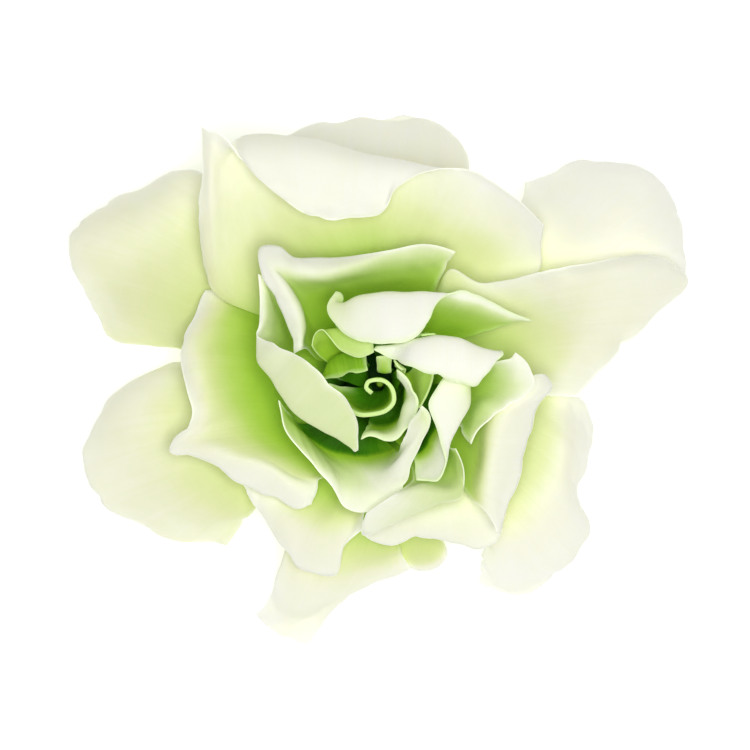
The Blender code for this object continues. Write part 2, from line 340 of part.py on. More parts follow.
def claw_rows(azimuth, ring, width, strips):
    """The two rows by which a petal leaves the dome: its root, just clear of the dome, and its claw's end."""
    around = math.radians(azimuth)
    up = math.radians(ring)
    outward = np.array([math.cos(up) * math.cos(around), math.cos(up) * math.sin(around), math.sin(up)])
    sideways = np.array([-math.sin(around), math.cos(around), 0.0])
    middle = np.array([0.0, 0.0, DOME_MIDDLE])
    rows = []
    for reach, spread in ((0.0, 1.0), (CLAW_LENGTH, CLAW_SPREAD)):
        radius = DOME_RADIUS + CLEAR + reach
        row = []
        for t in np.linspace(-0.5, 0.5, strips):
            side = sideways * t * width * spread
            direction = outward * (DOME_RADIUS + CLEAR) + side
            row.append(middle + direction / np.linalg.norm(direction) * radius)
        rows.append(row)
    return np.array(rows)


def petal_surface(net, across, along):
    """Points on the smooth surface through the net, flattened where the petal rests on the surface below."""
    rows = smooth_curves(net, along + 1)
    surface = smooth_curves(rows.transpose(1, 0, 2), across + 1)
    surface[..., 2] = np.maximum(surface[..., 2], 0.0)
    return surface - np.array([ORIGIN_X, ORIGIN_Y, 0.0])


def plain_material(name, colour, roughness):
    material = bpy.data.materials.new(name)
    material.use_nodes = True
    shader = material.node_tree.nodes["Principled BSDF"]
    shader.inputs["Base Color"].default_value = (*colour, 1.0)
    shader.inputs["Roughness"].default_value = roughness
    shader.inputs["Metallic"].default_value = 0.0
    material.diffuse_color = (*colour, 1.0)
    return material


def add_object(name, bm, colour, roughness=0.5):
    mesh = bpy.data.meshes.new(name)
    bm.to_mesh(mesh)
    bm.free()
    mesh.shade_smooth()
    mesh.materials.append(plain_material(name, colour, roughness))
    obj = bpy.data.objects.new(name, mesh)
    bpy.context.scene.collection.objects.link(obj)
    return obj


def add_petal(name, net, across, along, colour):
    """A petal: a grid laid on its underside, with the blade's thickness on its upper side."""
    surface = petal_surface(net, across, along) * MM
    bm = bmesh.new()
    bmesh.ops.create_grid(bm, x_segments=across, y_segments=along, size=0.5)
    for vert in bm.verts:
        column = round((vert.co.x + 0.5) * across)
        row = round((vert.co.y + 0.5) * along)
        vert.co = surface[column, row]
    bmesh.ops.triangulate(bm, faces=bm.faces, quad_method="FIXED")
    obj = add_object(name, bm, colour)
    blade = obj.modifiers.new("Blade", "SOLIDIFY")
    blade.thickness = BLADE * MM
    blade.offset = -1.0
    return obj


def petal_net(azimuth, ring, width, strips):
    shaped = np.array(strips, float).transpose(1, 0, 2)
    return np.concatenate([claw_rows(azimuth, ring, width, len(strips)), shaped])


def ring_at(bm, radius, height, ribs=0.0):
    """A ring of points round the stalk's line, pushed out and in by its ribs."""
    ring = []
    for turn in range(TURNS):
        angle = 2 * math.pi * turn / TURNS
        reach = radius + ribs * math.cos(RIBS * angle)
        point = (
            (reach * math.cos(angle) - ORIGIN_X) * MM,
            (reach * math.sin(angle) - ORIGIN_Y) * MM,
            height * MM,
        )
        ring.append(bm.verts.new(point))
    return ring


def turned_solid(profile, ribs=0.0):
    """A closed turned body from (radius, height) pairs that run upwards."""
    bm = bmesh.new()
    rings = []
    for place, (radius, height) in enumerate(profile):
        inner = 0 < place < len(profile) - 1
        rings.append(ring_at(bm, radius, height, ribs if inner else 0.3 * ribs))
    bm.faces.new(list(reversed(rings[0])))
    for lower, upper in zip(rings, rings[1:]):
        for side in range(TURNS):
            after = (side + 1) % TURNS
            bm.faces.new((lower[side], lower[after], upper[after], upper[side]))
    bm.faces.new(rings[-1])
    bmesh.ops.triangulate(bm, faces=bm.faces)
    return bm


def dome_profile():
    """The flower tube's flare, the dome that the petals leave from, and the short style on top of it."""
    dome = []
    for angle in (0.0, 14.0, 28.0, 42.0, 56.0, 68.0, 79.0):
        up = math.radians(angle)
        dome.append((DOME_RADIUS * math.cos(up), DOME_MIDDLE + DOME_RADIUS * math.sin(up)))
    return list(TUBE_PROFILE) + dome + list(STYLE_PROFILE)


def add_sepal(turn):
    """One sepal as a helper for the union: a narrow blade, thickest on its middle line, that ends in a point."""
    angle = 2 * math.pi * (turn + 0.5) / SEPALS
    outward = np.array([math.cos(angle), math.sin(angle), 0.0])
    sideways = np.array([-math.sin(angle), math.cos(angle), 0.0])
    upward = np.array([0.0, 0.0, 1.0])
    bm = bmesh.new()
    rings = []
    for (reach, height), width in zip(SEPAL_SPINE, SEPAL_WIDTHS):
        middle = outward * reach + upward * height - np.array([ORIGIN_X, ORIGIN_Y, 0.0])
        thick = SEPAL_THICKNESS * min(1.0, 0.4 + width / 4.0)
        corners = ((-0.5, 0.0), (0.0, -0.5), (0.5, 0.0), (0.0, 0.5))
        ring = [bm.verts.new((middle + sideways * a * width + upward * b * thick) * MM) for a, b in corners]
        rings.append(ring)
    bm.faces.new(rings[0])
    for lower, upper in zip(rings, rings[1:]):
        for side in range(4):
            after = (side + 1) % 4
            bm.faces.new((lower[side], upper[side], upper[after], lower[after]))
    bm.faces.new(list(reversed(rings[-1])))
    bmesh.ops.recalc_face_normals(bm, faces=bm.faces)
    bmesh.ops.triangulate(bm, faces=bm.faces)
    helper = add_object(f"sepal_{turn + 1}", bm, CALYX_GREEN)
    helper.hide_render = True
    helper.display_type = "WIRE"
    return helper


def add_calyx():
    calyx = add_object("calyx", turned_solid(OVARY_PROFILE, RIB_DEPTH), CALYX_GREEN, 0.55)
    for turn in range(SEPALS):
        joint = calyx.modifiers.new(f"Sepal {turn + 1}", "BOOLEAN")
        joint.operation = "UNION"
        joint.solver = "EXACT"
        joint.object = add_sepal(turn)


def main():
    for obj in list(bpy.data.objects):
        bpy.data.objects.remove(obj, do_unlink=True)
    for name, (azimuth, ring, width, across, along, colour, strips) in PETALS.items():
        add_petal(name, petal_net(azimuth, ring, width, strips), across, along, colour)
    scroll = np.array(SCROLL_STRIPS, float).transpose(1, 0, 2)
    add_petal("petal_core_scroll", scroll, 14, 8, LIME)
    add_object("corolla_tube", turned_solid(dome_profile()), TUBE_GREEN)
    add_object("stalk", turned_solid(STALK_PROFILE), STALK_GREEN, 0.6)
    add_calyx()


main()
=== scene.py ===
"""A double gardenia bloom, laid face up on a pale surface: the looks of its waxy petals, its flower tube,
its ribbed calyx and its stalk stub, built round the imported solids. Shapes and the view are given in
millimetres, materials and lights in metres."""

import math

import bmesh
import bpy
import numpy as np
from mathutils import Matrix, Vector


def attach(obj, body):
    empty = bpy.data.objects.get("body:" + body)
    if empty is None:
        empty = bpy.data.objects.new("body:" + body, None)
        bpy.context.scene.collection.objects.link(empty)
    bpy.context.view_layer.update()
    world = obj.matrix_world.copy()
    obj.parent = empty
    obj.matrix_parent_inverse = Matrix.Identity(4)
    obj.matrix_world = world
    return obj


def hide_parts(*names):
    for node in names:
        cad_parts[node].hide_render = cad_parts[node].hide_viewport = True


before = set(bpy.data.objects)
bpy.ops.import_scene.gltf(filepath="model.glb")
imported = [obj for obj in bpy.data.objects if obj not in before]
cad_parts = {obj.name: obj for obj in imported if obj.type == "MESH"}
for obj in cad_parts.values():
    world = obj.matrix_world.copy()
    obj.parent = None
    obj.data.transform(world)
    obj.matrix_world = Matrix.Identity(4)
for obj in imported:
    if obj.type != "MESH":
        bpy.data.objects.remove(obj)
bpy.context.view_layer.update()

MM = 0.001

ORIGIN_X, ORIGIN_Y = -0.17, 0.7  # middle of the bloom's outline, in the frame of the points below
DOME_RADIUS = 7.3  # up to the roots of the petals
DOME_MIDDLE = 14.5  # height of the dome's centre
# How far above the dome's equator each ring of claws leaves it, in degrees.
LOWEST, OUTER, BETWEEN, INNER, HEART, CORE = 3.0, 23.0, 32.5, 42.0, 59.0, 74.0
CLAW_LENGTH = 3.0
CLAW_SPREAD = 1.3  # how much wider a claw is at its end than at its root

CELL = 0.55  # distance between points on a petal
BLADE = 0.62  # thickness of a petal in its middle
THINNING = 4.0  # width of the band in which a petal thins towards its margin
TURN_WIDTH = 1.5  # width of the rim that bends back
SETTLING = 0.8  # how softly a petal's underside comes to lie on the surface
BILLOW_LENGTH = 17.0
CREASE = 0.07  # height of the lengthwise creases
CREASE_SPACING = 4.2
CREASE_STRETCH = 0.12  # how fast a crease changes along the petal, against across it
RUFFLE_LENGTH = 6.5
RUFFLE_WIDTH = 3.2
NICK_LENGTH = 3.4
NICK_WIDTH = 2.0
WAVE_DEPTH = 0.3  # the gentle waves' share of a nick
NOTCH_LEVEL = 0.7  # level above which an uneven field cuts notches
CREASE_SEED, RUFFLE_SEED, NICK_SEED, BILLOW_SEED = 100, 200, 300, 400
# Shares of a petal's length between which its relief, its creases and its pale rim of painted light begin.
FREE, CREASED, RIMMED = (0.35, 0.6), (0.15, 0.5), (0.4, 0.75)
PINCHED = (0.1, 0.5)  # shares of a full cell between which a pinched one takes on relief
SOFTENING = 0.15  # rows of points by which a change of green is softened
FIELD_WAVES = 7  # plane waves in an uneven field
FIELD_LENGTHS = (0.7, 1.5)  # their shortest and longest, against the field's own length
FIELD_HEIGHT = 2.6

# Each petal: the direction in which it leaves the dome (degrees from +X towards +Y), its ring of claws,
# the claw's width, and its strips. The strips lie side by side, counterclockwise as seen from above, and
# each runs from beyond the claw out to the petal's margin. The points are on the petal's underside.
PETALS = {
    "west_upper": (146, LOWEST, 4.4, (
        ((-17, 22, 15), (-27, 32.5, 12.5), (-34, 34.7, 6.5)),
        ((-20, 17, 15), (-33, 27, 13.5), (-42, 29.8, 5.5)),
        ((-22, 12, 15), (-36.5, 20, 13), (-49.6, 23.8, 7)),
        ((-24, 8, 15), (-37, 12, 11), (-48.2, 14, 3.5)),
        ((-24.5, 4, 15), (-33, 5, 9), (-44, 7.4, -2.4)),
    )),
    "west_lower": (204, LOWEST, 4.4, (
        ((-23.5, 2, 15), (-32.5, 3.7, 10.8), (-39.5, -0.9, 5)),
        ((-24.5, -3, 15), (-38, -4, 12), (-45.7, -6.5, 6)),
        ((-24, -8, 15), (-37, -11, 12), (-47.2, -14.5, 5)),
        ((-21.5, -12.5, 14.5), (-32, -18, 10.8), (-40.5, -21.3, 0.8)),
        ((-19, -15, 14), (-26, -21.3, 10), (-31.5, -25, -2.6)),
        ((-17, -16, 13.6), (-20.2, -21.3, 9.5), (-24.3, -25.6, 0.3)),
    )),
    "south": (248, LOWEST, 3.6, (
        ((-13.5, -22, 14.5), (-16, -30, 9.5), (-18, -34.5, 4.5), (-20.2, -37, 2)),
        ((-9.5, -24, 15.5), (-12.5, -32, 10), (-15.3, -37, 1.2), (-17.3, -39.8, -0.8)),
        ((-5, -25, 15.5), (-8, -32, 10.5), (-11, -37.5, 0.3), (-12.1, -42, -1)),
        ((-1, -25, 15.5), (-3, -30, 12), (-5.5, -34, 5.8), (-7, -36.2, 1.9)),
        ((3, -25, 14.5), (3.5, -27.3, 12.2), (4.2, -28.6, 10.6), (4.8, -29.4, 9)),
    )),
    "south_lobe": (283, LOWEST, 2.5, (
        ((1.5, -19, 13.2), (1.5, -25.5, 9), (3, -28.4, 6)),
        ((3.2, -19.5, 13.4), (4, -27.2, 9.2), (5, -29.6, 5.8)),
        ((5, -19.7, 13.6), (6.2, -27.8, 10.2), (7, -29.9, 6.8)),
        ((7, -19.5, 13.6), (8.5, -27.3, 10.9), (9.2, -29.4, 8)),
        ((8.5, -19, 13.3), (10.4, -25.3, 11), (10.7, -27.8, 10)),
    )),
    "south_east": (318, LOWEST, 3.6, (
        ((9, -17, 15.3), (15.8, -25.5, 11.5), (15.8, -29.5, 5.5), (15.8, -32.2, -0.5)),
        ((12, -16, 16), (19.5, -25.5, 15), (20.5, -29.5, 9), (22, -33.9, -3)),
        ((15, -13.5, 16.3), (24, -22.5, 17), (26.7, -26.5, 11.5), (30, -29.3, 2)),
        ((17.5, -10.5, 16.4), (27, -18, 18), (29.8, -21, 15.5), (31.8, -23.5, 8.5)),
        ((19, -7.5, 16.2), (28.3, -13, 18.5), (30.3, -15.5, 16.5), (32, -16.8, 12.5)),
        ((19.8, -5, 15.7), (28.8, -8, 18), (31.5, -9.5, 16), (35, -10, 12)),
        ((20, -0.5, 14.4), (28, -0.3, 14.4), (30.3, -1.3, 13.4), (32.8, -3.2, 11.8)),
    )),
    "north_east": (36, LOWEST, 5.0, (
        ((20.5, 8, 14.5), (38, 15, 9), (48.6, 16.5, 4)),
        ((19.5, 11.5, 15), (37, 20, 11), (48.9, 26, 4.5)),
        ((18, 14, 15.2), (33, 25, 12), (43.6, 33.8, 5)),
        ((16, 17, 15), (28, 28, 12.5), (32.4, 35.8, 6)),
        ((13.5, 19, 14.5), (21.5, 28, 11.5), (23, 32.5, 7.5)),
    )),
    "north_far": (87, LOWEST, 5.0, (
        ((8.5, 22, 14.5), (14, 32, 9.5), (13.7, 37, 4)),
        ((5, 24, 15), (8, 35, 11), (8.5, 42.3, -0.6)),
        ((0, 24.5, 15.2), (0, 36, 11.5), (0.5, 42.5, -2.8)),
        ((-5, 24, 15), (-8, 35.5, 11), (-6.5, 41.9, -0.3)),
        ((-8.5, 22, 14.5), (-14.5, 34, 9.5), (-15.6, 40, 3)),
    )),
    "north": (100, OUTER, 5.0, (
        ((17, 12, 18.5), (25, 17.5, 19), (25.5, 21.5, 20), (25.8, 23.5, 19.7), (26, 25, 19)),
        ((13, 17, 19.5), (19, 23, 22), (20, 27.5, 22.5), (20.8, 28.8, 22.2), (21.3, 29.5, 21.5)),
        ((6, 20, 22), (10, 27, 24), (12, 31.5, 25.5), (13, 33, 26.2), (13.5, 33.9, 26)),
        ((3.8, 20.3, 22.5), (7.5, 28, 24.5), (8.8, 33.2, 26.5), (8.9, 34.2, 28.2), (8, 33.6, 29.8)),
        ((1.5, 20.5, 23), (4.5, 28, 24.8), (5, 34.4, 27.5), (4.7, 34.5, 30), (2.6, 30.8, 31.1)),
        ((0, 20.5, 23), (1, 28.3, 24.8), (1.2, 35.8, 27.5), (1, 34.5, 30.7), (0.3, 27, 31.2)),
        ((-2, 20.5, 23), (-3.5, 28.5, 24.7), (-4, 37, 27.5), (-4.2, 35, 31), (-4.8, 25.9, 31.3)),
        ((-6, 19.9, 23), (-10, 27.5, 24.5), (-12, 38.5, 27), (-12, 36.5, 30.7), (-11.3, 26.4, 31.1)),
        ((-10, 18.5, 21.5), (-16, 26, 23.5), (-21, 38.1, 26.8), (-21.3, 37.4, 29.8), (-19.3, 32.4, 31)),
        ((-15, 15.5, 19.5), (-21.5, 21.5, 22), (-25, 33.5, 25.2), (-25.4, 37.2, 27.2), (-25, 39.2, 29)),
        ((-19.5, 12, 19.6), (-25.5, 16, 20.9), (-27.3, 27, 24.5), (-27.3, 34.5, 26.4), (-27.3, 40, 27.6)),
        ((-20.5, 11.3, 19.2), (-27, 15.5, 19.8), (-28.8, 26, 23), (-28, 34, 25.2), (-28.4, 40.8, 26.9)),
    )),
    "west": (178, OUTER, 5.0, (
        ((-13, 9.5, 16.8), (-19, 12, 16.3), (-24.5, 14, 16.3), (-28, 15, 16)),
        ((-15, 7, 18.3), (-21.5, 9.5, 18.6), (-27, 10.5, 19), (-29.8, 10.5, 18.5)),
        ((-16.5, 3.5, 19), (-23, 5, 20), (-29, 5.5, 20.8), (-31.7, 5, 20)),
        ((-17, -0.5, 19.5), (-24, 0, 21), (-28.5, -0.5, 21.8), (-30.8, -1, 21.8)),
        ((-16.5, -4.5, 19.8), (-23.5, -5, 21.5), (-28, -6, 22.3), (-30, -5.5, 22.3)),
        ((-15.5, -7.5, 20), (-22.5, -8.5, 21.8), (-29.5, -9.5, 22), (-33.5, -10.8, 20.5)),
        ((-14, -9.5, 20), (-20, -10.8, 22.5), (-25, -11.5, 23), (-27, -12.8, 20.5)),
        ((-12, -11.5, 20), (-16.5, -13, 22.8), (-18.5, -13.8, 23.5), (-20.5, -16.8, 21)),
        ((-10.5, -12.8, 20.2), (-13.5, -15, 22.5), (-14, -16.3, 23.3), (-14.3, -19.8, 21.5)),
        ((-8.5, -14, 20.2), (-9.8, -15.5, 21.8), (-10, -17, 22), (-10.8, -19.3, 21.8)),
    )),
    "south_west": (243, OUTER, 4.6, (
        ((-10.5, -13.5, 17), (-18, -15.5, 17.2), (-22.3, -15.8, 17)),
        ((-9, -15.5, 17.6), (-15.5, -19, 18.3), (-19.7, -20, 17)),
        ((-7.5, -16.5, 18.3), (-12.5, -22, 19.5), (-16.1, -25.6, 16.5)),
        ((-6, -17, 18.5), (-10, -23.5, 20), (-12.5, -29.7, 15.5)),
        ((-4.5, -17.3, 18.5), (-7.5, -23.5, 20.3), (-7, -31, 15)),
        ((-2.8, -17.3, 18.3), (-4.5, -22.5, 20.3), (-6, -26.3, 18.5)),
        ((-1.5, -17, 18), (-2.5, -20.5, 19.5), (-2.7, -23.4, 20)),
    )),
    "south_mid": (295, OUTER, 4.6, (
        ((0.5, -15, 18.5), (-0.5, -20, 20), (-2.5, -24.6, 19.5)),
        ((3, -15.5, 19), (3, -20.5, 21.5), (1.5, -26, 19)),
        ((5.5, -15.5, 19.3), (6.5, -20.5, 22.5), (6, -24.9, 21)),
        ((8, -15, 19.5), (10, -20, 23), (11, -25.3, 21)),
        ((10.5, -13.5, 19.5), (14, -18.5, 23), (16, -26.5, 20)),
        ((12.5, -11.5, 19.3), (17, -16.5, 22.5), (19, -24.5, 21.5)),
        ((13.5, -9.5, 19), (18.5, -13.5, 21.5), (20.5, -19, 21.5)),
    )),
    "east": (18, OUTER, 4.4, (
        ((13, -1.5, 19.2), (19, -1.5, 20), (26, -2, 19), (31.3, -2.2, 17.5)),
        ((13.5, 2, 20), (21.5, 3, 21.3), (30.5, 3.5, 18.5), (35.3, 1.8, 16)),
        ((12, 5.5, 21), (22, 7.5, 23), (33, 9, 18), (42.5, 9.3, 12.5)),
        ((11.5, 8.5, 22.8), (20.5, 11, 25), (32, 13.5, 19), (49.6, 15.8, 9.5)),
        ((10.8, 11, 25), (18, 12.8, 27.2), (31, 15.4, 20.3), (47.3, 18.8, 10.8)),
        ((10.3, 13.3, 27), (16.3, 14.2, 28.6), (29.5, 17, 21.8), (44.3, 20.1, 12.3)),
        ((10.6, 17.7, 30.2), (16.2, 15.9, 29.3), (28, 18.2, 22.7), (41, 20.4, 13.8)),
    )),
    "inner_north": (106, INNER, 3.8, (
        ((7.5, 13, 22.5), (9.5, 16.5, 26), (11, 19.5, 28.8), (12, 20.8, 29.5)),
        ((4, 14, 22.5), (5.5, 17.5, 27), (6.5, 20.3, 30.5), (7, 22, 31)),
        ((0.5, 14, 22.5), (1.5, 17, 27.5), (1.5, 19.9, 31.5), (1.5, 21, 31.8)),
        ((-3, 13.5, 22.5), (-3, 16.5, 27.5), (-4, 18.5, 32), (-4, 20.1, 31.5)),
        ((-6.5, 12.5, 22.5), (-7.5, 15.5, 27.5), (-9, 17.5, 32.3), (-9, 20, 31.5)),
        ((-8.2, 11, 22.5), (-10.8, 14.8, 27.5), (-13, 17.7, 32.8), (-13.6, 19.9, 32)),
        ((-8.9, 9.4, 22.5), (-12.2, 13.8, 27.5), (-15.3, 18.3, 33.5), (-15.9, 21.6, 32.6)),
        ((-9.4, 7.8, 22.7), (-13, 12.3, 27.5), (-16.7, 17.8, 33.8), (-19, 21.4, 32.5)),
        ((-9.7, 6.4, 23.4), (-12.5, 10.3, 27.5), (-14.7, 14.6, 33.5), (-18.5, 16.9, 32.5)),
        ((-9.6, 5, 23.8), (-12, 8, 27.5), (-12.8, 10.4, 33), (-15.3, 11, 32.2)),
        ((-9.3, 3.5, 24), (-11.6, 5.2, 27.5), (-12.4, 5.3, 32), (-13.6, 4.6, 31.6)),
    )),
    "inner_west": (168, INNER, 3.8, (
        ((-12.8, 9, 20.4), (-16, 13.5, 25), (-18.3, 16.5, 29.5), (-19.3, 17.3, 30)),
        ((-13.2, 6.6, 20.6), (-16.5, 11, 25.5), (-18, 13.5, 30), (-19, 13.5, 30.5)),
        ((-13.3, 4.5, 21), (-16.5, 8, 26), (-18.3, 9.5, 31), (-19, 9.5, 31.3)),
        ((-13.3, 2.3, 21), (-16.8, 5, 27), (-19.3, 6.3, 31.5), (-19.4, 7.6, 33)),
        ((-13.2, 1.2, 21), (-16.8, 3.2, 27.5), (-19.5, 4, 33), (-17.2, 6.5, 35.8)),
        ((-13, 0, 21), (-16.5, 1.5, 28), (-18.3, 2.5, 34.5), (-15.3, 5.5, 37)),
        ((-12.3, -2.5, 21), (-14.5, -1.5, 29), (-15.3, -1.5, 36), (-11.3, 3.4, 38.5)),
        ((-11, -4.5, 22.3), (-12.3, -4.3, 29), (-12.6, -4.7, 36), (-7.8, -0.1, 38.5)),
        ((-9.3, -6, 23.4), (-9.3, -6.5, 29), (-8.8, -7.1, 36), (-4.8, -3.2, 38)),
        ((-7.5, -7.3, 24.2), (-6.8, -8.3, 29), (-5.8, -9.2, 35.5), (-3.4, -6.8, 36.5)),
        ((-6, -8, 24.8), (-5, -9.3, 29.4), (-4.2, -10.8, 34.5), (-3.4, -10.6, 34.8)),
    )),
    "inner_south": (245, INNER, 3.8, (
        ((-12.5, -6.5, 22), (-14.3, -5, 25.5), (-15.3, -3.8, 28.5), (-16, -2.7, 30)),
        ((-11.8, -8, 22), (-13.3, -7.3, 25.5), (-14.5, -6.5, 28.5), (-15.2, -7, 30.5)),
        ((-10.5, -9.3, 22), (-11, -10.3, 25.5), (-11.4, -10.7, 28.5), (-12.2, -11.1, 30)),
        ((-9, -10.3, 22.3), (-8.5, -12.5, 25.5), (-7.8, -14.5, 28), (-7.7, -16.3, 28.5)),
        ((-7.5, -11, 22.5), (-5.5, -14.5, 25.5), (-5.3, -17.5, 27), (-5.3, -19.9, 27.3)),
        ((-5.5, -11.5, 22.8), (-3, -15.3, 26), (-2, -18, 27.5), (-1, -20.2, 27.5)),
        ((-3.5, -12, 23), (-1, -15, 27), (1.5, -16.5, 29), (3.8, -16.8, 30)),
        ((-1.5, -12, 23.3), (1, -14, 28.3), (3.3, -13, 31.5), (5.2, -11.7, 34)),
        ((0.5, -11.5, 23.5), (2.5, -12.5, 29), (4.6, -9.5, 34), (8.1, -6, 36.6)),
        ((2.5, -10.5, 24), (3, -10.5, 29), (3.7, -8, 34.3), (6.5, -3.4, 37.4)),
    )),
    "inner_south_east": (297, INNER, 2.6, (
        ((4, -11, 23.5), (5, -15.3, 29), (2.5, -17.3, 33), (-2.2, -20.5, 30)),
        ((5.2, -11.3, 23.5), (6.2, -15.6, 29.5), (5, -17.2, 34), (-2.8, -24.2, 26)),
        ((6.5, -11.3, 23.5), (7.5, -15.7, 30), (7, -17.2, 34.3), (2, -22.5, 28)),
        ((7.8, -11, 23.5), (9, -15.5, 30), (9.3, -17.4, 34.3), (6, -20.5, 30.5)),
        ((8.3, -10.8, 23.5), (10.6, -15.2, 30), (11.3, -17.2, 34), (9.5, -18.9, 32.5)),
        ((9.2, -10, 23.5), (11.8, -13.8, 30), (12.8, -15.8, 33.5), (12.6, -18.1, 33.3)),
        ((9.8, -9, 23.5), (11.8, -11.8, 29.5), (12.7, -12.8, 32.5), (13.3, -14, 34)),
        ((10, -8.3, 23.5), (11, -10, 28.5), (11.5, -10.3, 31.5), (12, -10.3, 33)),
    )),
    "outer_fold_south_east": (333, BETWEEN, 2.6, (
        ((9.5, -12, 21.5), (13.5, -17.5, 25.5), (16.6, -20.3, 29), (18.3, -23.8, 26.5)),
        ((11, -11, 21.5), (14.7, -15, 26), (17, -17, 30), (20.7, -18.5, 27.5)),
        ((12, -9.5, 21.5), (15.5, -12, 26.5), (17.5, -13, 31), (22.7, -13, 28)),
        ((12.8, -8, 21.5), (16, -9, 27), (18.3, -9, 31.5), (23.8, -9, 28.5)),
        ((13.3, -6, 21.5), (16.8, -6, 27), (19.5, -5, 32), (25, -4.3, 29)),
        ((13.5, -4, 21.5), (17.8, -3.3, 27), (21.8, -2.2, 32), (27.3, -0.8, 29.5)),
        ((13.3, -2, 21.5), (18.3, -0.8, 27), (22.5, 0.8, 31), (26, 1.6, 29.5)),
    )),
    "inner_east": (5, INNER, 2.6, (
        ((9.5, -4.5, 22.5), (12, -6.8, 26), (13.3, -8.3, 29), (14.4, -9.9, 31)),
        ((10.2, -3.5, 22.5), (13.5, -5, 26.5), (14.7, -6.8, 30), (16, -7, 32.5)),
        ((10.8, -2.3, 22.5), (15, -3, 27), (16.8, -3.9, 31.5), (18.2, -4.9, 33)),
        ((11, -1, 22.5), (16.3, -1.3, 28), (19.8, -2.8, 32.5), (21, -3.6, 33.5)),
        ((11.2, 0.5, 22.5), (17, 0.5, 28.5), (22, -0.5, 33), (24.3, -0.5, 33.5)),
        ((11, 1.8, 22.5), (16.8, 2, 28.5), (21.5, 2, 33.5), (23.8, 2.3, 34.5)),
        ((10.5, 3, 22.8), (16, 3.3, 29), (20, 3.7, 34), (21.3, 5, 34.5)),
    )),
    "heart_north": (85, HEART, 1.8, (
        ((10.5, 6.5, 24.5), (18, 8.5, 28), (22.5, 9.8, 29.5), (24, 10, 29.3)),
        ((9.8, 7.7, 25), (16, 9.8, 30), (19, 11, 32.5), (20.3, 11.4, 32.5)),
        ((8.5, 8.5, 25.5), (13, 11, 31.5), (15.3, 12.6, 34.5), (16.8, 13.2, 34.5)),
        ((7, 9, 26), (10.5, 11.8, 32), (12, 13.6, 35.5), (12.8, 14.7, 36)),
        ((5, 9, 26.3), (7.5, 11.8, 32), (9.5, 14.3, 36.5), (9.2, 12.8, 38)),
        ((3, 9, 26.5), (4.5, 11.8, 32), (6.5, 14.4, 36.8), (7, 8.6, 38.8)),
        ((1, 9, 26.5), (1.5, 11.5, 32), (2.5, 14.2, 36.8), (4.3, 6.6, 39.5)),
        ((-1, 8.8, 26.5), (-1.5, 11.2, 32), (-1, 14, 36.5), (0, 6.1, 39)),
        ((-2.7, 8.3, 26), (-4, 10.7, 31.5), (-4, 13.5, 35.8), (-4.3, 6.9, 37.8)),
        ((-3.8, 7.6, 25.5), (-5.5, 9.9, 31), (-5.8, 12.7, 35), (-6.9, 9, 36.7)),
        ((-4.5, 7.1, 25.2), (-6.4, 9.6, 30.6), (-6.7, 12.9, 34.5), (-8.4, 11.9, 36)),
        ((-5.2, 6.8, 25), (-7, 9.4, 30.1), (-5.7, 13.5, 33.5), (-6.9, 14.5, 34.7)),
    )),
    "heart_east": (30, HEART, 1.8, (
        ((9.5, 3.5, 24), (15.5, 4.5, 31), (19.0, 5.2, 35.6), (19.2, 4.6, 37.6)),
        ((9, 4.3, 24.5), (14, 5.2, 32), (17, 5.2, 38), (16.6, 1.2, 39)),
        ((8, 5, 25), (12, 6, 33), (14.3, 6, 39), (14.8, -0.6, 39.8)),
        ((7, 5.5, 25), (10, 6.6, 33.5), (12, 6.8, 39.5), (11.5, 0.3, 40.3)),
        ((5.5, 5.8, 25.5), (7.8, 6.8, 34), (9, 7.1, 39.8), (8, 1.3, 40.8)),
        ((4.3, 5.8, 26), (5.5, 6.6, 34), (5.8, 6.7, 39), (4.5, 2.6, 40.5)),
        ((3.3, 5.1, 26.4), (3.2, 6.2, 34), (2.8, 6, 37), (1.5, 3.9, 37.8)),
        ((2.4, 4.6, 26.6), (1, 5.6, 33.5), (-0.6, 5.7, 36.2), (-0.9, 5.4, 37.3)),
    )),
    "heart_south_east": (322, HEART, 2.8, (
        ((5.2, -9, 25), (5.5, -12.3, 29), (5.5, -13.9, 31.2), (5.7, -15.4, 33)),
        ((6, -9, 25.5), (6.8, -12.3, 29.5), (7, -14.2, 31.8), (7.2, -15.5, 33.3)),
        ((7, -8.5, 26), (8.5, -11.3, 30.5), (9.2, -13.5, 33), (9.3, -15.4, 34.4)),
        ((7.8, -7.5, 26), (9.3, -10, 31), (10.7, -11.7, 34), (10.3, -12.9, 35)),
        ((8.5, -6.5, 26), (10.3, -8.3, 31.5), (11.4, -9, 35.5), (9.4, -9.3, 37.1)),
        ((9.3, -5, 26), (12, -5.8, 32), (12.6, -6.3, 36.8), (8.8, -7.2, 38)),
        ((9.8, -3.2, 26), (13.6, -3.2, 32.5), (13.7, -3.5, 37), (7.6, -3.4, 38.5)),
        ((9.8, -1.5, 26), (13.8, -1, 32.5), (13.8, -0.8, 37), (8.9, -0.6, 38.3)),
        ((9.5, 0, 26), (13.5, 0.7, 32), (13.3, 1, 36), (10, 0.7, 37)),
    )),
    "heart_north_west": (145, HEART, 2.8, (
        ((-1.5, 5.5, 26), (-1.5, 7.5, 30), (-1, 8, 33), (-0.8, 4.8, 34)),
        ((-3, 5.3, 26), (-4, 7.8, 30), (-4.5, 8.3, 33.3), (-3, 3.9, 34.5)),
        ((-4.5, 4.8, 26), (-6.3, 7.5, 30), (-7.3, 8.6, 33.3), (-6, 5, 34.3)),
        ((-5.7, 4, 26), (-7.8, 6.6, 30), (-9.0, 8.4, 32.6), (-8.6, 8.4, 34.2)),
        ((-6.4, 3, 26), (-8.8, 5.4, 29.5), (-10, 7.2, 32), (-10.2, 8, 33)),
        ((-6.9, 2, 26), (-9.4, 3.9, 29), (-10.5, 5.3, 31), (-10.9, 5.9, 32)),
    )),
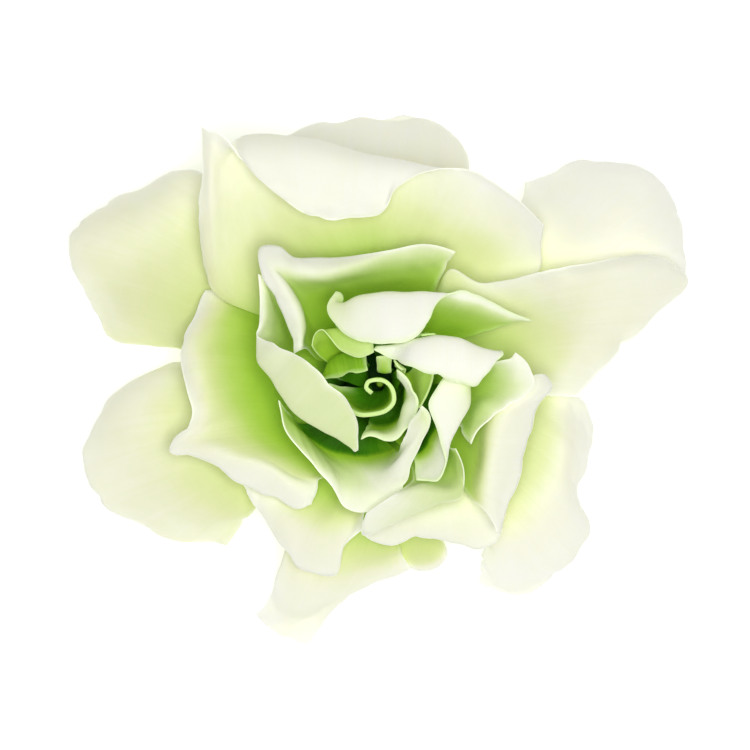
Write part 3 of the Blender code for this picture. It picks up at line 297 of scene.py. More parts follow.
    "core_east": (359, CORE, 1.4, (
        ((5.1, -3.4, 25.3), (5.9, -4, 28.5), (6.7, -4.1, 30.3)),
        ((5.3, -2.3, 25.4), (6.8, -2.3, 28.7), (7.8, -1.9, 30.4)),
        ((5.4, -0.8, 25.5), (7.1, -0.3, 28.7), (8.3, 0.6, 30.6)),
        ((5.2, 0.7, 25.3), (6.7, 1.6, 28.7), (8, 2.8, 31)),
        ((4.6, 1.8, 25.2), (5.6, 3, 28.3), (6.3, 4, 31.2)),
    )),
    "core_crescent": (285, CORE, 1.5, (
        ((-1.8, -5.8, 25), (-2.3, -7.2, 28.5), (-2.7, -8, 31.5), (-3, -9, 32)),
        ((-0.8, -6.3, 25), (-1, -7.5, 28.5), (-1.3, -7.8, 31.8), (-1.5, -8.4, 32.5)),
        ((0.4, -6.3, 25), (0.6, -7.6, 28.5), (0.7, -8.3, 31.8), (0.8, -9.2, 32.3)),
        ((1.7, -6, 25), (2.2, -7, 28.5), (2.6, -7.8, 31.8), (2.9, -8.9, 32.5)),
        ((2.9, -5, 25.2), (3.6, -5.7, 28.5), (3.7, -5.7, 31.2), (5.1, -6.2, 33)),
        ((3.4, -3.6, 26.3), (4.1, -3.9, 28.8), (4.2, -3.8, 31.6), (5.8, -3.7, 33.6)),
        ((3.6, -2.3, 27), (4.4, -2.2, 29.2), (4.9, -2, 32.2), (5.7, -1.6, 34)),
        ((3.8, -1.1, 26.8), (4.3, -0.5, 29), (4.2, -0.4, 32.2), (4.5, 0.8, 34.3)),
        ((3.3, 0, 26.9), (3.5, 0.7, 29), (2.8, 1.1, 32.2), (2.7, 2.2, 34)),
    )),
    "core_west": (165, CORE, 1.5, (
        ((-1.6, 3, 25.5), (-2, 3.8, 28), (-2.2, 4.2, 30.5), (-1.8, 2, 31.3)),
        ((-3, 3, 25.5), (-4.2, 4, 28), (-5, 4.8, 30.5), (-4.3, 1.2, 31.3)),
        ((-4.2, 2.2, 25.6), (-5.9, 3.3, 28.2), (-6.9, 4.2, 30.5), (-6.4, 0.8, 31.2)),
        ((-5.0, 1.0, 25.8), (-6.9, 1.8, 28.2), (-8.3, 2.8, 30.2), (-8.2, 0.6, 31)),
        ((-5.3, 0.2, 25.8), (-7.4, 0.6, 28), (-9.0, 1.4, 29.8), (-9.4, 0.4, 30.3)),
    )),
    "core_small": (70, CORE, 1.4, (
        ((1.8, 2.2, 26), (1.7, 2, 29.5), (1.7, 2.4, 32.2), (1.7, 4.2, 34)),
        ((0.8, 2.6, 26), (0.7, 1.9, 29.5), (0.6, 2.2, 32.4), (0.8, 4.4, 34.6)),
        ((-0.1, 2.8, 26), (-0.3, 2, 29.5), (-0.5, 2.5, 32), (-0.6, 4.2, 34)),
    )),
}

# The innermost petal is rolled up round the tip of the style. Its strips run from its lower edge up.
SCROLL_STRIPS = (
    ((-1.7, -0.3, 25), (-3.7, -0.7, 26.3), (-8.3, -0.1, 28.8)),
    ((-1.5, -1, 24.7), (-3.5, -2.2, 26.1), (-7.4, -2.3, 29)),
    ((-1.15, -1.4, 24.5), (-2.9, -3.2, 26), (-6, -4, 30)),
    ((-0.75, -1.6, 24.4), (-2.1, -3.7, 26.3), (-3.8, -5.2, 31.5)),
    ((-0.25, -1.65, 24.4), (-0.9, -3.8, 26.5), (-1.3, -5.3, 32.3)),
    ((0.3, -1.6, 24.4), (0.5, -3.3, 26.5), (1, -4.7, 32.8)),
    ((0.8, -1.35, 24.5), (1.4, -2.3, 26.3), (2.4, -3.2, 33)),
    ((1.2, -0.85, 24.8), (1.7, -1.2, 26.5), (2.4, -1.5, 33)),
    ((1.3, -0.1, 25.4), (1.5, 0, 27.3), (1.6, 0, 33)),
    ((0.4, 0.7, 26.5), (0.3, 0.85, 28.4), (0, 0.9, 33)),
    ((-1.1, 0.7, 27.2), (-1.5, 0.7, 29), (-2.1, 0.6, 33)),
    ((-2.3, -0.1, 27.9), (-2.5, -0.3, 29.3), (-2.6, -0.8, 32.8)),
    ((-1.8, -1.4, 29.2), (-1.8, -1.6, 30.2), (-1.4, -1.9, 32)),
)

# Two crumpled petaloids between the heart's petals, given as the petals are.
PETALOIDS = {
    "petaloid_north": (52, HEART, 1.4, (
        ((6.4, 6.4, 26), (8.4, 7.9, 32), (9.8, 8.4, 37.6)),
        ((5.4, 6.9, 26), (7.2, 8.2, 32), (8.2, 8.2, 38)),
        ((4.4, 7.1, 26), (5.9, 8.1, 32), (6.4, 7.6, 37.8)),
    )),
    "petaloid_middle": (20, CORE, 1.0, (
        ((3.6, 0.9, 26), (3.9, 1.6, 30), (3.9, 2.3, 34.6)),
        ((3.2, 1.6, 26), (3.2, 2.4, 30), (3.1, 3.2, 35.2)),
        ((2.6, 2.1, 26), (2.5, 3, 30), (2.4, 3.9, 34.8)),
    )),
}

# How green each petal is, as one or more profiles spread evenly from its first strip to its last. A
# profile's pairs are a row of points, counted from 2 for the row beyond the claw, and the green there.
# Levels from about 0.9 up come out near black: painted shade in the deep gaps of the heart.
GREENS_AND_SHADE = {
    "west_upper": (((2, 0.36), (3, 0.1), (4, 0.02)), ((2, 0.46), (3, 0.24), (4, 0.11))),
    "west_lower": (((2, 0.3), (3, 0.08), (4, 0.02)), ((2, 0.45), (3, 0.19), (4, 0.11))),
    "south": (((2, 0.36), (2.6, 0.1), (3, 0.03), (5, 0)), ((2, 0.46), (3, 0.2), (4, 0.08), (5, 0.04))),
    "south_lobe": (((2, 0.5), (3, 0.3), (3.4, 0.1), (4, 0.03)),),
    "south_east": (
        ((2, 0.5), (2.6, 0.2), (3, 0.05), (4, 0), (5, 0)),
        ((2, 0.5), (2.5, 0.3), (3, 0.1), (4, 0.04), (5, 0.02)),
    ),
    "north_east": (((2, 0.35), (2.6, 0.1), (3, 0.02), (4, 0)),),
    "north_far": (((2, 0.24), (3, 0.06), (4, 0.02)),),
    "north": (
        ((1.5, 0.3), (2, 0.22), (2.5, 0.15), (3, 0.1), (4, 0.05), (5, 0.02), (6, 0.01)),
        ((2, 0.5), (2.5, 0.38), (3, 0.2), (4, 0.05), (5, 0.01), (6, 0.01)),
        ((2, 0.42), (3, 0.2), (4, 0.1), (6, 0.03)),
    ),
    "west": (
        ((2, 0.88), (2.5, 0.8), (3, 0.72), (3.5, 0.56), (4, 0.2), (5, 0.04)),
        ((2, 0.8), (2.5, 0.62), (3, 0.38), (3.5, 0.22), (4, 0.1), (5, 0.03)),
        ((2, 0.7), (2.5, 0.36), (3, 0.14), (4, 0.05), (5, 0.02)),
    ),
    "south_west": (((2, 0.6), (2.5, 0.38), (3, 0.12), (4, 0.02)),),
    "south_mid": (
        ((2, 0.55), (2.6, 0.25), (3, 0.1), (4, 0.04)),
        ((2, 0.5), (2.6, 0.28), (3, 0.14), (4, 0.03)),
    ),
    "east": (
        ((2, 0.6), (3, 0.42), (3.6, 0.22), (4, 0.1), (5, 0.03)),
        ((2, 0.55), (3, 0.3), (3.5, 0.18), (4, 0.1), (5, 0.04)),
        ((1.4, 0.3), (2, 0.18), (3, 0.1), (4, 0.07), (5, 0.03)),
    ),
    "inner_north": (
        ((2, 0.75), (3, 0.58), (4, 0.34), (5, 0.14)),
        ((2, 0.78), (3, 0.61), (3.6, 0.43), (3.9, 0.1), (5, 0.01)),
        ((2, 0.78), (3, 0.6), (3.75, 0.4), (4.05, 0.05), (5, 0)),
    ),
    "inner_west": (
        ((2, 0.7), (3, 0.5), (4, 0.2), (5, 0.02)),
        ((2, 0.7), (3, 0.5), (3.8, 0.22), (4.2, 0.18), (5, 0.16)),
        ((2, 0.7), (3, 0.5), (3.8, 0.26), (4.2, 0.25), (5, 0.26)),
    ),
    "inner_south": (
        ((2, 0.93), (3, 0.7), (4, 0.6), (5, 0.48)),
        ((2, 0.93), (2.4, 0.7), (3, 0.42), (4, 0.2), (5, 0.05)),
        ((2, 0.93), (2.3, 0.5), (2.6, 0.17), (3, 0.1), (4, 0.05), (5, 0.04)),
        ((2, 0.85), (2.6, 0.4), (3, 0.17), (4, 0.08), (4.5, 0.12), (5, 0.26)),
    ),
    "inner_south_east": (
        ((2, 0.7), (3, 0.4), (3.7, 0.2), (4.2, 0.06), (5, 0.04)),
        ((2, 0.75), (3, 0.52), (4, 0.48), (5, 0.42)),
    ),
    "outer_fold_south_east": (((2, 0.7), (3, 0.5), (3.6, 0.3), (4, 0.08), (5, 0.02)),),
    "inner_east": (
        ((2, 0.8), (3, 0.62), (4, 0.52), (4.6, 0.42), (5, 0.22)),
        ((2, 0.78), (3, 0.6), (3.5, 0.4), (4, 0.22), (5, 0.05)),
        ((2, 0.75), (3, 0.55), (3.4, 0.3), (3.8, 0.08), (5, 0.02)),
    ),
    "heart_north": (
        ((2, 0.8), (3, 0.55), (3.6, 0.45), (4, 0.3), (4.5, 0.06), (5, 0)),
        ((2, 0.8), (3, 0.6), (3.8, 0.3), (4.1, 0.02), (5, 0)),
        ((2, 0.8), (3, 0.6), (3.8, 0.3), (4.1, 0.02), (5, 0)),
        ((2, 0.8), (3, 0.6), (4, 0.3), (5, 0.2)),
    ),
    "heart_east": (((2, 0.8), (3, 0.5), (3.8, 0.15), (4, 0.03), (5, 0)),),
    "heart_south_east": (
        ((2, 1.0), (2.75, 0.98), (3.05, 0.4), (3.3, 0.2), (4, 0.12), (5, 0.09)),
        ((2, 0.96), (2.4, 0.88), (2.8, 0.4), (3.1, 0.06), (4, 0.02), (5, 0.01)),
        ((2, 0.96), (2.8, 0.88), (3.1, 0.5), (4, 0.26), (4.4, 0.08), (5, 0.03)),
    ),
    "heart_north_west": (
        ((2, 0.88), (3, 0.66), (4, 0.44), (5, 0.34)),
        ((2, 0.88), (3, 0.76), (4, 0.64), (5, 0.56)),
    ),
    "core_east": (((2, 0.75), (3, 0.5), (4, 0.5)),),
    "core_crescent": (
        ((2, 0.93), (3, 0.75), (4, 0.3), (5, 0.08)),
        ((2, 1.0), (3, 0.98), (3.3, 0.6), (3.6, 0.1), (5, 0.0)),
    ),
    "core_west": (((2, 0.93), (3, 0.9), (4, 0.86), (5, 0.82)),),
    "core_small": (((2, 0.9), (3, 0.85), (4, 0.72), (5, 0.34)),),
    "petaloid_north": (((2, 0.9), (3, 0.85), (4, 0.78)),),
    "petaloid_middle": (((2, 0.85), (3, 0.6), (4, 0.3)),),
}
# Claws and the scroll's lowest rows sit deep among the petals and are painted near black as shade.
CLAW_PAINTED_SHADE = ((0, 1.0), (1, 0.92))
SCROLL_GREENS_AND_SHADE = ((0, 0.96), (1, 0.9), (1.75, 0.84), (2, 0.5))

# The billow is the height of the broad swells in a blade, the ruffle that of the waves near its margin,
# the nick the depth of the margin's unevenness, and the turn how far the rim bends back. The rim is the
# width of the pale line of painted light along the margin, and the margin the share of the thickness left
# there.
RELIEF = {
    "petal_outer": {"billow": 0.7, "ruffle": 0.4, "nick": 0.4, "turn": 0.8, "rim": 0.4, "margin": 0.25},
    "petal_inner": {"billow": 0.25, "ruffle": 0.35, "nick": 0.4, "turn": 0.3, "rim": 0.5, "margin": 0.22},
    "petal_heart": {"billow": 0.0, "ruffle": 0.18, "nick": 0.3, "turn": 0.1, "rim": 0.6, "margin": 0.45},
}
OWN_RELIEF = {
    "south": {"nick": 0.2, "turn": 0.9},
    "south_lobe": {"billow": 0.2, "ruffle": 0.2, "nick": 0.2},
    "west_lower": {"nick": 0.55},
    "east": {"billow": 0.4, "turn": 0.7, "rim": 1.1},
    "north": {"billow": 0.4},
    "inner_north": {"billow": 0.1, "ruffle": 0.15, "nick": 0.2, "turn": 0.15},
    "inner_west": {"billow": 0.1, "ruffle": 0.15, "turn": 0.15},
    "inner_south": {"billow": 0.1, "ruffle": 0.15, "turn": 0.15},
    "inner_south_east": {"billow": 0.0, "ruffle": 0.12, "turn": 0.1, "rim": 0.35},
    "inner_east": {"billow": 0.0, "ruffle": 0.12, "turn": 0.1},
    "heart_north_west": {"rim": 0.1, "ruffle": 0.3, "nick": 0.5, "margin": 0.3},
    "core_west": {"rim": 0.15, "ruffle": 0.3, "nick": 0.4},
    "core_east": {"rim": 0.3},
    "core_crescent": {"ruffle": 0.2, "nick": 0.35},
    "core_small": {"ruffle": 0.15, "nick": 0.4},
    "core_scroll": {"ruffle": 0.08, "nick": 0.1, "rim": 0.8, "margin": 1.0},
    "petaloid_north": {"ruffle": 0.5, "nick": 0.7, "rim": 0.2},
    "petaloid_middle": {"ruffle": 0.4, "nick": 0.6},
}

# Petal flesh by how green it is, from the margin's near white to leaf green, ending in a near-black green
# at the claws that is painted shade for the depth of the bloom.
FLESH_AND_SHADE = (
    (0.0, (0.94, 0.945, 0.85)),
    (0.1, (0.885, 0.9, 0.71)),
    (0.2, (0.78, 0.825, 0.47)),
    (0.35, (0.64, 0.735, 0.29)),
    (0.5, (0.48, 0.66, 0.13)),
    (0.65, (0.38, 0.6, 0.058)),
    (0.8, (0.29, 0.53, 0.026)),
    (0.9, (0.05, 0.2, 0.004)),
    (1.0, (0.006, 0.04, 0.001)),
)
# The inner petals' flesh, a little cooler, with the same painted shade at its dark end.
COOL_FLESH_AND_SHADE = (
    (0.0, (0.94, 0.95, 0.86)),
    (0.1, (0.86, 0.9, 0.71)),
    (0.2, (0.74, 0.825, 0.49)),
    (0.35, (0.6, 0.735, 0.3)),
    (0.5, (0.47, 0.66, 0.15)),
    (0.65, (0.38, 0.6, 0.065)),
    (0.8, (0.3, 0.53, 0.028)),
    (0.9, (0.05, 0.2, 0.004)),
    (1.0, (0.002, 0.015, 0.0005)),
)
# Colours of the pale line of painted light along the petals' margins.
WHITE_RIM_LIGHT = (0.93, 0.95, 0.84)
LEMON_RIM_LIGHT = (0.92, 0.95, 0.78)
LIME_RIM_LIGHT = (0.7, 0.86, 0.42)
WARM_TINT = (1.0, 0.985, 0.95)
# The tube's skin by height; its near-black band between the claws is painted shade.
TUBE_SKIN_AND_SHADE = (
    (0.0, (0.42, 0.52, 0.16)),
    (0.35, (0.2, 0.36, 0.05)),
    (0.6, (0.003, 0.03, 0.001)),
    (0.86, (0.003, 0.03, 0.001)),
    (0.93, (0.3, 0.5, 0.04)),
)
PAPER_TONES = ((0.0, (0.93,) * 3), (1.0, (0.95,) * 3))
RIM_LIGHT_SHARE = 0.6  # how much of the rim's painted light covers the flesh at the very margin
EDGE_GLOW_FALL = 6.0  # how fast the painted glow at a petal's edge falls off inside the rim
UNEVENNESS = 0.07  # how far a roughness strays to either side
TUBE_FOOT, STYLE_TIP = 0.01, 0.0245  # the heights from and to which the tube's skin changes

# Each finish: the petals' slot, the colours of their flesh (painted shade at its dark end) and of their
# rim's painted light, their roughness and gloss, the strength of their painted glow, and how many times
# more it glows at the thin edge.
FINISHES = {
    "lowest": ("petal_outer", FLESH_AND_SHADE, WHITE_RIM_LIGHT, 0.5, 0.5, 0.11, 4.0),
    "outer": ("petal_inner", FLESH_AND_SHADE, LEMON_RIM_LIGHT, 0.48, 0.4, 0.09, 4.5),
    "inner": ("petal_inner", COOL_FLESH_AND_SHADE, LEMON_RIM_LIGHT, 0.48, 0.3, 0.1, 3.5),
    "heart": ("petal_heart", COOL_FLESH_AND_SHADE, LIME_RIM_LIGHT, 0.46, 0.15, 0.13, 2.0),
}
FINISH_OF_RING = {
    LOWEST: "lowest", OUTER: "outer", BETWEEN: "outer", INNER: "inner", HEART: "heart", CORE: "heart",
}

# Profiles turned round the stalk's line, as pairs of a radius and a height.
TUBE_PROFILE = ((2.2, 9.9), (2.4, 10.6), (3.2, 12.0), (4.9, 13.2), (6.6, 13.9))
DOME_ANGLES = (0.0, 14.0, 28.0, 42.0, 56.0, 68.0, 79.0)
STYLE_PROFILE = ((0.85, 21.9), (0.7, 22.6), (0.6, 23.6), (0.45, 24.2), (0.0, 24.4))
OVARY_PROFILE = (
    (0.0, 3.7), (1.6, 3.8), (2.6, 4.6), (3.2, 6.2), (3.4, 8.0), (3.2, 9.2), (2.7, 9.9), (1.9, 10.1),
)
STALK_PROFILE = ((0.0, 0.62), (1.25, 0.6), (1.5, 0.75), (1.6, 1.2), (1.55, 2.2), (1.75, 3.2), (1.9, 3.9))
TURNED_DETAIL = 6  # points on a turned line for each one given
RIBS = 6
RIB_DEPTH = 0.35
SEPALS = 6
# A sepal's distance from the stalk's line, its height and its width, from its foot to its tip.
SEPAL_SPINE = (
    (2.0, 8.2, 2.2), (3.4, 9.3, 2.7), (6.2, 10.3, 2.5),
    (9.0, 11.4, 2.0), (11.8, 12.5, 1.3), (13.9, 13.1, 0.15),
)
SEPAL_BLADE = 0.5
SEPAL_TAPER = 0.6  # share of its thickness that a sepal loses up to its tip
SEPAL_SWAY = 0.05  # radians
SEPAL_DROP, SEPAL_KEEL = 0.3, 0.5  # how far it hangs below its spine, and how steeply its sides rise

VIEW_WIDTH = 120.0  # width of the picture at the height of the outer petals
VIEW_MIDDLE = (-0.63, 0.58)
CAMERA_HEIGHT = 1800.0
OUTER_HEIGHT = 9.0
SENSOR = 36.0
LIT_SPOT = (0.0, 0.0, 0.02)


def knots_of(points):
    """Knots for all the curves down the first axis, closer together where the points are."""
    steps = np.sqrt(np.linalg.norm(np.diff(points, axis=0), axis=2).mean(axis=1))
    return np.concatenate([[0.0], np.cumsum(steps)]) / steps.sum()


def smooth_curves(points, count):
    """Count points along each smooth curve that runs through the points down the first axis."""
    knots = knots_of(points)
    spans = np.diff(knots)[:, None, None]
    slopes = np.diff(points, axis=0) / spans
    tangents = np.empty_like(points)
    tangents[1:-1] = (spans[1:] * slopes[:-1] + spans[:-1] * slopes[1:]) / (spans[1:] + spans[:-1])
    tangents[0] = 1.5 * slopes[0] - 0.5 * tangents[1]
    tangents[-1] = 1.5 * slopes[-1] - 0.5 * tangents[-2]
    at = np.linspace(0.0, 1.0, count)
    span = np.clip(np.searchsorted(knots, at, side="right") - 1, 0, len(knots) - 2)
    s = ((at - knots[span])[:, None, None]) / spans[span]
    start = (2 * s**3 - 3 * s**2 + 1) * points[span]
    leave = (s**3 - 2 * s**2 + s) * spans[span] * tangents[span]
    end = (3 * s**2 - 2 * s**3) * points[span + 1]
    arrive = (s**3 - s**2) * spans[span] * tangents[span + 1]
    return start + leave + end + arrive


def claw_rows(azimuth, ring, width, strips):
    """The two rows by which a petal leaves the dome: its root on the dome and its claw's end."""
    around = math.radians(azimuth)
    up = math.radians(ring)
    outward = np.array([math.cos(up) * math.cos(around), math.cos(up) * math.sin(around), math.sin(up)])
    sideways = np.array([-math.sin(around), math.cos(around), 0.0])
    middle = np.array([0.0, 0.0, DOME_MIDDLE])
    rows = []
    for reach, spread in ((0.0, 1.0), (CLAW_LENGTH, CLAW_SPREAD)):
        for t in np.linspace(-0.5, 0.5, strips):
            direction = outward * DOME_RADIUS + sideways * t * width * spread
            rows.append(middle + direction / np.linalg.norm(direction) * (DOME_RADIUS + reach))
    return np.reshape(rows, (2, strips, 3))


def longest(points):
    """Length of the longest curve down the first axis."""
    return np.linalg.norm(np.diff(points, axis=0), axis=2).sum(axis=0).max()


def petal_points(net):
    """Points on the petal's underside, side by side along the first axis and outwards along the second."""
    along = round(longest(net) / CELL)
    across = round(longest(net.transpose(1, 0, 2)) / CELL)
    rows = smooth_curves(net, along + 1)
    return smooth_curves(rows.transpose(1, 0, 2), across + 1)


def smooth_step(values, low, high):
    t = np.clip((values - low) / (high - low), 0.0, 1.0)
    return t * t * (3.0 - 2.0 * t)


def green_and_shade_levels(net, shape, profiles):
    """How green the petal is at each of its points, blended from one profile to the next across it; its
    top levels stand for painted shade.
    """
    across, along = shape
    rows = np.interp(np.linspace(0.0, 1.0, along), knots_of(net), np.arange(len(net)))
    levels = []
    for profile in profiles:
        places, values = zip(*profile)
        softened = [np.interp(rows + step, places, values) for step in (-SOFTENING, 0.0, SOFTENING)]
        levels.append(np.mean(softened, axis=0))
    at = np.linspace(0.0, 1.0, across)
    sides = np.linspace(0.0, 1.0, len(levels))
    return np.array([np.interp(at, sides, column) for column in np.array(levels).T]).T


def waves(points, length, seed):
    """A smooth uneven field through space, mostly between -1 and 1."""
    chance = np.random.default_rng(seed)
    total = np.zeros(points.shape[:-1])
    for _ in range(FIELD_WAVES):
        direction = chance.normal(size=3)
        direction /= np.linalg.norm(direction)
        turn = 2 * math.pi / (length * chance.uniform(*FIELD_LENGTHS))
        total += np.sin(points @ direction * turn + chance.uniform(0.0, 2 * math.pi))
    return total / FIELD_HEIGHT


def run_up(points, axis):
    """How far along the petal each point lies from the first one, along the given axis."""
    steps = np.linalg.norm(np.diff(points, axis=axis), axis=2)
    start = np.zeros_like(np.take(steps, [0], axis=axis))
    return np.concatenate([start, np.cumsum(steps, axis=axis)], axis=axis)


def unit(vectors):
    return vectors / np.maximum(np.linalg.norm(vectors, axis=-1, keepdims=True), 1e-9)


def margins(points):
    """Distances to the first side, to the last side and to the tip, all along the petal."""
    sideways = run_up(points, 0)
    outwards = run_up(points, 1)
    return sideways, sideways[-1:] - sideways, outwards[:, -1:] - outwards


def openness(points):
    """One where the petal's cells are full squares, down to nothing where they are pinched to slivers."""
    corner = np.cross(np.gradient(points, axis=0), np.gradient(points, axis=1))
    return smooth_step(np.linalg.norm(corner, axis=2) / CELL**2, *PINCHED)


def beyond(shares, along):
    """Nothing near a petal's claw and one further out, at each of the points along it."""
    return smooth_step(np.linspace(0.0, 1.0, along)[None, :], *shares)


def near(distance, band):
    """One at the margin, fading to nothing over about twice the band."""
    return np.exp(-((distance / band) ** 2))


def lifted(points, flatness, seed, relief):
    """How far each point is raised off the smooth surface, by swells, creases, ruffles and the rim."""
    first, last, tip = margins(points)
    edge = np.minimum(np.minimum(first, last), tip)
    free = beyond(FREE, points.shape[1])
    creased = beyond(CREASED, points.shape[1])
    flat = [first - first[-1:] / 2, CREASE_STRETCH * run_up(points, 1), np.zeros_like(first)]
    lift = relief["billow"] * free * waves(points, BILLOW_LENGTH, seed + BILLOW_SEED)
    lift += CREASE * creased * waves(np.stack(flat, axis=2), CREASE_SPACING, seed + CREASE_SEED)
    ruffle = waves(points, RUFFLE_LENGTH, seed + RUFFLE_SEED)
    lift += relief["ruffle"] * free * near(edge, RUFFLE_WIDTH) * ruffle
    lift -= relief["turn"] * free * flatness * np.clip(1.0 - edge / TURN_WIDTH, 0.0, 1.0) ** 2
    return lift * openness(points)


def drawn_in(points, seed, relief):
    """How far each point is moved back from the margin, as a vector, so that the margin runs unevenly."""
    uneven = waves(points, NICK_LENGTH, seed + NICK_SEED)
    cut = WAVE_DEPTH * (1.0 + uneven) + np.maximum(uneven - NOTCH_LEVEL, 0.0)
    depth = relief["nick"] * beyond(FREE, points.shape[1]) * openness(points) * cut
    first, last, tip = (near(margin, NICK_WIDTH)[..., None] for margin in margins(points))
    across = unit(np.gradient(points, axis=0))
    along = unit(np.gradient(points, axis=1))
    return (across * first - across * last - along * tip) * depth[..., None]


def with_relief(points, seed, relief):
    upward = unit(np.cross(np.gradient(points, axis=1), np.gradient(points, axis=0)))
    flatness = np.clip(upward[..., 2], 0.0, 1.0) ** 2
    lift = lifted(points, flatness, seed, relief)
    shaped = points + upward * lift[..., None] + drawn_in(points, seed, relief)
    height = shaped[..., 2]
    shaped[..., 2] = (height + np.sqrt(height**2 + SETTLING**2)) / 2
    return shaped - np.array([ORIGIN_X, ORIGIN_Y, 0.0])


def add_object(name, data):
    made = bpy.data.objects.new(name, data)
    bpy.context.scene.collection.objects.link(made)
    return made


def mesh_object(name, bm, material):
    mesh = bpy.data.meshes.new(name)
    bm.to_mesh(mesh)
    bm.free()
    mesh.materials.append(material)
    return add_object(name, mesh)


def add_piece(name, bm, material, node=None):
    piece = mesh_object(name, bm, material)
    piece.data.shade_smooth()
    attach(piece, "root")
    if node:
        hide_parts(node)
    return piece


def add_blade(piece, thickness):
    """Gives a piece its thickness on its upper side, thinner where its vertex group says so."""
    piece.vertex_groups.new(name="blade")
    blade = piece.modifiers.new("Blade", "SOLIDIFY")
    blade.thickness = thickness * MM
    blade.offset = -1.0
    blade.vertex_group = "blade"
    piece.modifiers.new("Rounded rim", "WEIGHTED_NORMAL").weight = 85


def petal_grid(points, green, edge, relief):
    """The petal's underside as a mesh, with its map, its greenness (painted shade at the top), its rim of
    painted light and its share of the blade.
    """
    across, along = points.shape[0] - 1, points.shape[1] - 1
    bm = bmesh.new()
    lengthwise = bm.loops.layers.uv.new("petal")
    green_and_shade_at = bm.verts.layers.float.new("green")
    rim_light_at = bm.verts.layers.float.new("rim")
    blade_at = bm.verts.layers.deform.verify()
    bmesh.ops.create_grid(bm, x_segments=across, y_segments=along, size=0.5)
    for face in bm.faces:
        for loop in face.loops:
            loop[lengthwise].uv = (loop.vert.co.x + 0.5, loop.vert.co.y + 0.5)
    thinned = relief["margin"] + (1.0 - relief["margin"]) * smooth_step(edge, 0.0, THINNING)
    # Painted light: a pale line along the margin.
    painted_rim_light = near(edge, relief["rim"]) * beyond(RIMMED, along + 1)
    for vert in bm.verts:
        place = round((vert.co.x + 0.5) * across), round((vert.co.y + 0.5) * along)
        vert[green_and_shade_at] = green[place]
        vert[rim_light_at] = painted_rim_light[place]
        vert[blade_at][0] = thinned[place]
        vert.co = points[place] * MM
    return bm


def add_petal(name, net, seed, slot, material, profiles):
    relief = {**RELIEF[slot], **OWN_RELIEF.get(name, {})}
    surface = petal_points(net)
    green = green_and_shade_levels(net, surface.shape[:2], profiles)
    edge = np.minimum.reduce(margins(surface))
    bm = petal_grid(with_relief(surface, seed, relief), green, edge, relief)
    node = "petal_" + name
    piece = add_piece(name + "_petal", bm, material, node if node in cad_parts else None)
    add_blade(piece, BLADE)


def add_petals():
    waxes = {name: petal_wax(name + " petals wax", *looks) for name, (_, *looks) in FINISHES.items()}
    for seed, (name, (azimuth, ring, width, strips)) in enumerate({**PETALS, **PETALOIDS}.items()):
        shaped = np.array(strips, float).transpose(1, 0, 2)
        net = np.concatenate([claw_rows(azimuth, ring, width, len(strips)), shaped])
        profiles = [CLAW_PAINTED_SHADE + profile for profile in GREENS_AND_SHADE[name]]
        finish = FINISH_OF_RING[ring]
        add_petal(name, net, seed, FINISHES[finish][0], waxes[finish], profiles)
    scroll = np.array(SCROLL_STRIPS, float).transpose(1, 0, 2)
    add_petal("core_scroll", scroll, len(PETALS), "petal_heart", waxes["heart"], [SCROLL_GREENS_AND_SHADE])


def turned(profile, ribs=0.0):
    """A smooth closed body turned round the stalk's line, pushed out and in by its ribs."""
    line = smooth_curves(np.array(profile, float)[:, None, :], TURNED_DETAIL * len(profile))[:, 0]
    bm = bmesh.new()
    verts = [bm.verts.new((radius * MM, 0.0, height * MM)) for radius, height in line]
    edges = [bm.edges.new(pair) for pair in zip(verts, verts[1:])]
    bmesh.ops.spin(bm, geom=verts + edges, cent=(0, 0, 0), axis=(0, 0, 1), dvec=(0, 0, 0),
                   angle=2 * math.pi, steps=72, use_merge=True, use_duplicate=False)
    bmesh.ops.remove_doubles(bm, verts=bm.verts, dist=0.00001)
    middle = line[:, 1].mean() * MM
    half = (line[:, 1].max() - line[:, 1].min()) / 2 * MM
    for vert in bm.verts:
        angle = math.atan2(vert.co.y, vert.co.x)
        fade = 1.0 - (abs(vert.co.z - middle) / half) ** 4
        reach = vert.co.xy.length
        if reach > MM:
            vert.co.xy *= 1.0 + ribs * MM * math.cos(RIBS * angle) * fade / reach
        vert.co.x -= ORIGIN_X * MM
        vert.co.y -= ORIGIN_Y * MM
    bmesh.ops.recalc_face_normals(bm, faces=bm.faces)
    return bm


def tube_profile():
    ups = [math.radians(angle) for angle in DOME_ANGLES]
    dome = [(DOME_RADIUS * math.cos(up), DOME_MIDDLE + DOME_RADIUS * math.sin(up)) for up in ups]
    return [*TUBE_PROFILE, *dome, *STYLE_PROFILE]


def sepal_point(turn, across, along):
    """A point of a keeled sepal that runs out from the ovary under the bloom and ends in a point."""
    places = np.linspace(0.0, 1.0, len(SEPAL_SPINE))
    reach, height, width = (np.interp(along, places, column) for column in zip(*SEPAL_SPINE))
    angle = 2 * math.pi * (turn + 0.5) / SEPALS + SEPAL_SWAY * math.sin(3 * along + turn)
    aside = across * width
    x = reach * math.cos(angle) - aside * math.sin(angle) - ORIGIN_X
    y = reach * math.sin(angle) + aside * math.cos(angle) - ORIGIN_Y
    return x * MM, y * MM, (height - SEPAL_DROP + SEPAL_KEEL * abs(across)) * MM


def add_sepals(material):
    """The sepals in one piece, all with their feet inside the ovary."""
    bm = bmesh.new()
    blade_at = bm.verts.layers.deform.verify()
    for turn in range(SEPALS):
        grid = bmesh.ops.create_grid(bm, x_segments=8, y_segments=26, size=0.5)
        for vert in grid["verts"]:
            across, along = vert.co.x, vert.co.y + 0.5
            vert[blade_at][0] = (1.0 - SEPAL_TAPER * along) * (1.0 - abs(across))
            vert.co = sepal_point(turn, across, along)
    add_blade(add_piece("sepals", bm, material, "calyx"), SEPAL_BLADE)


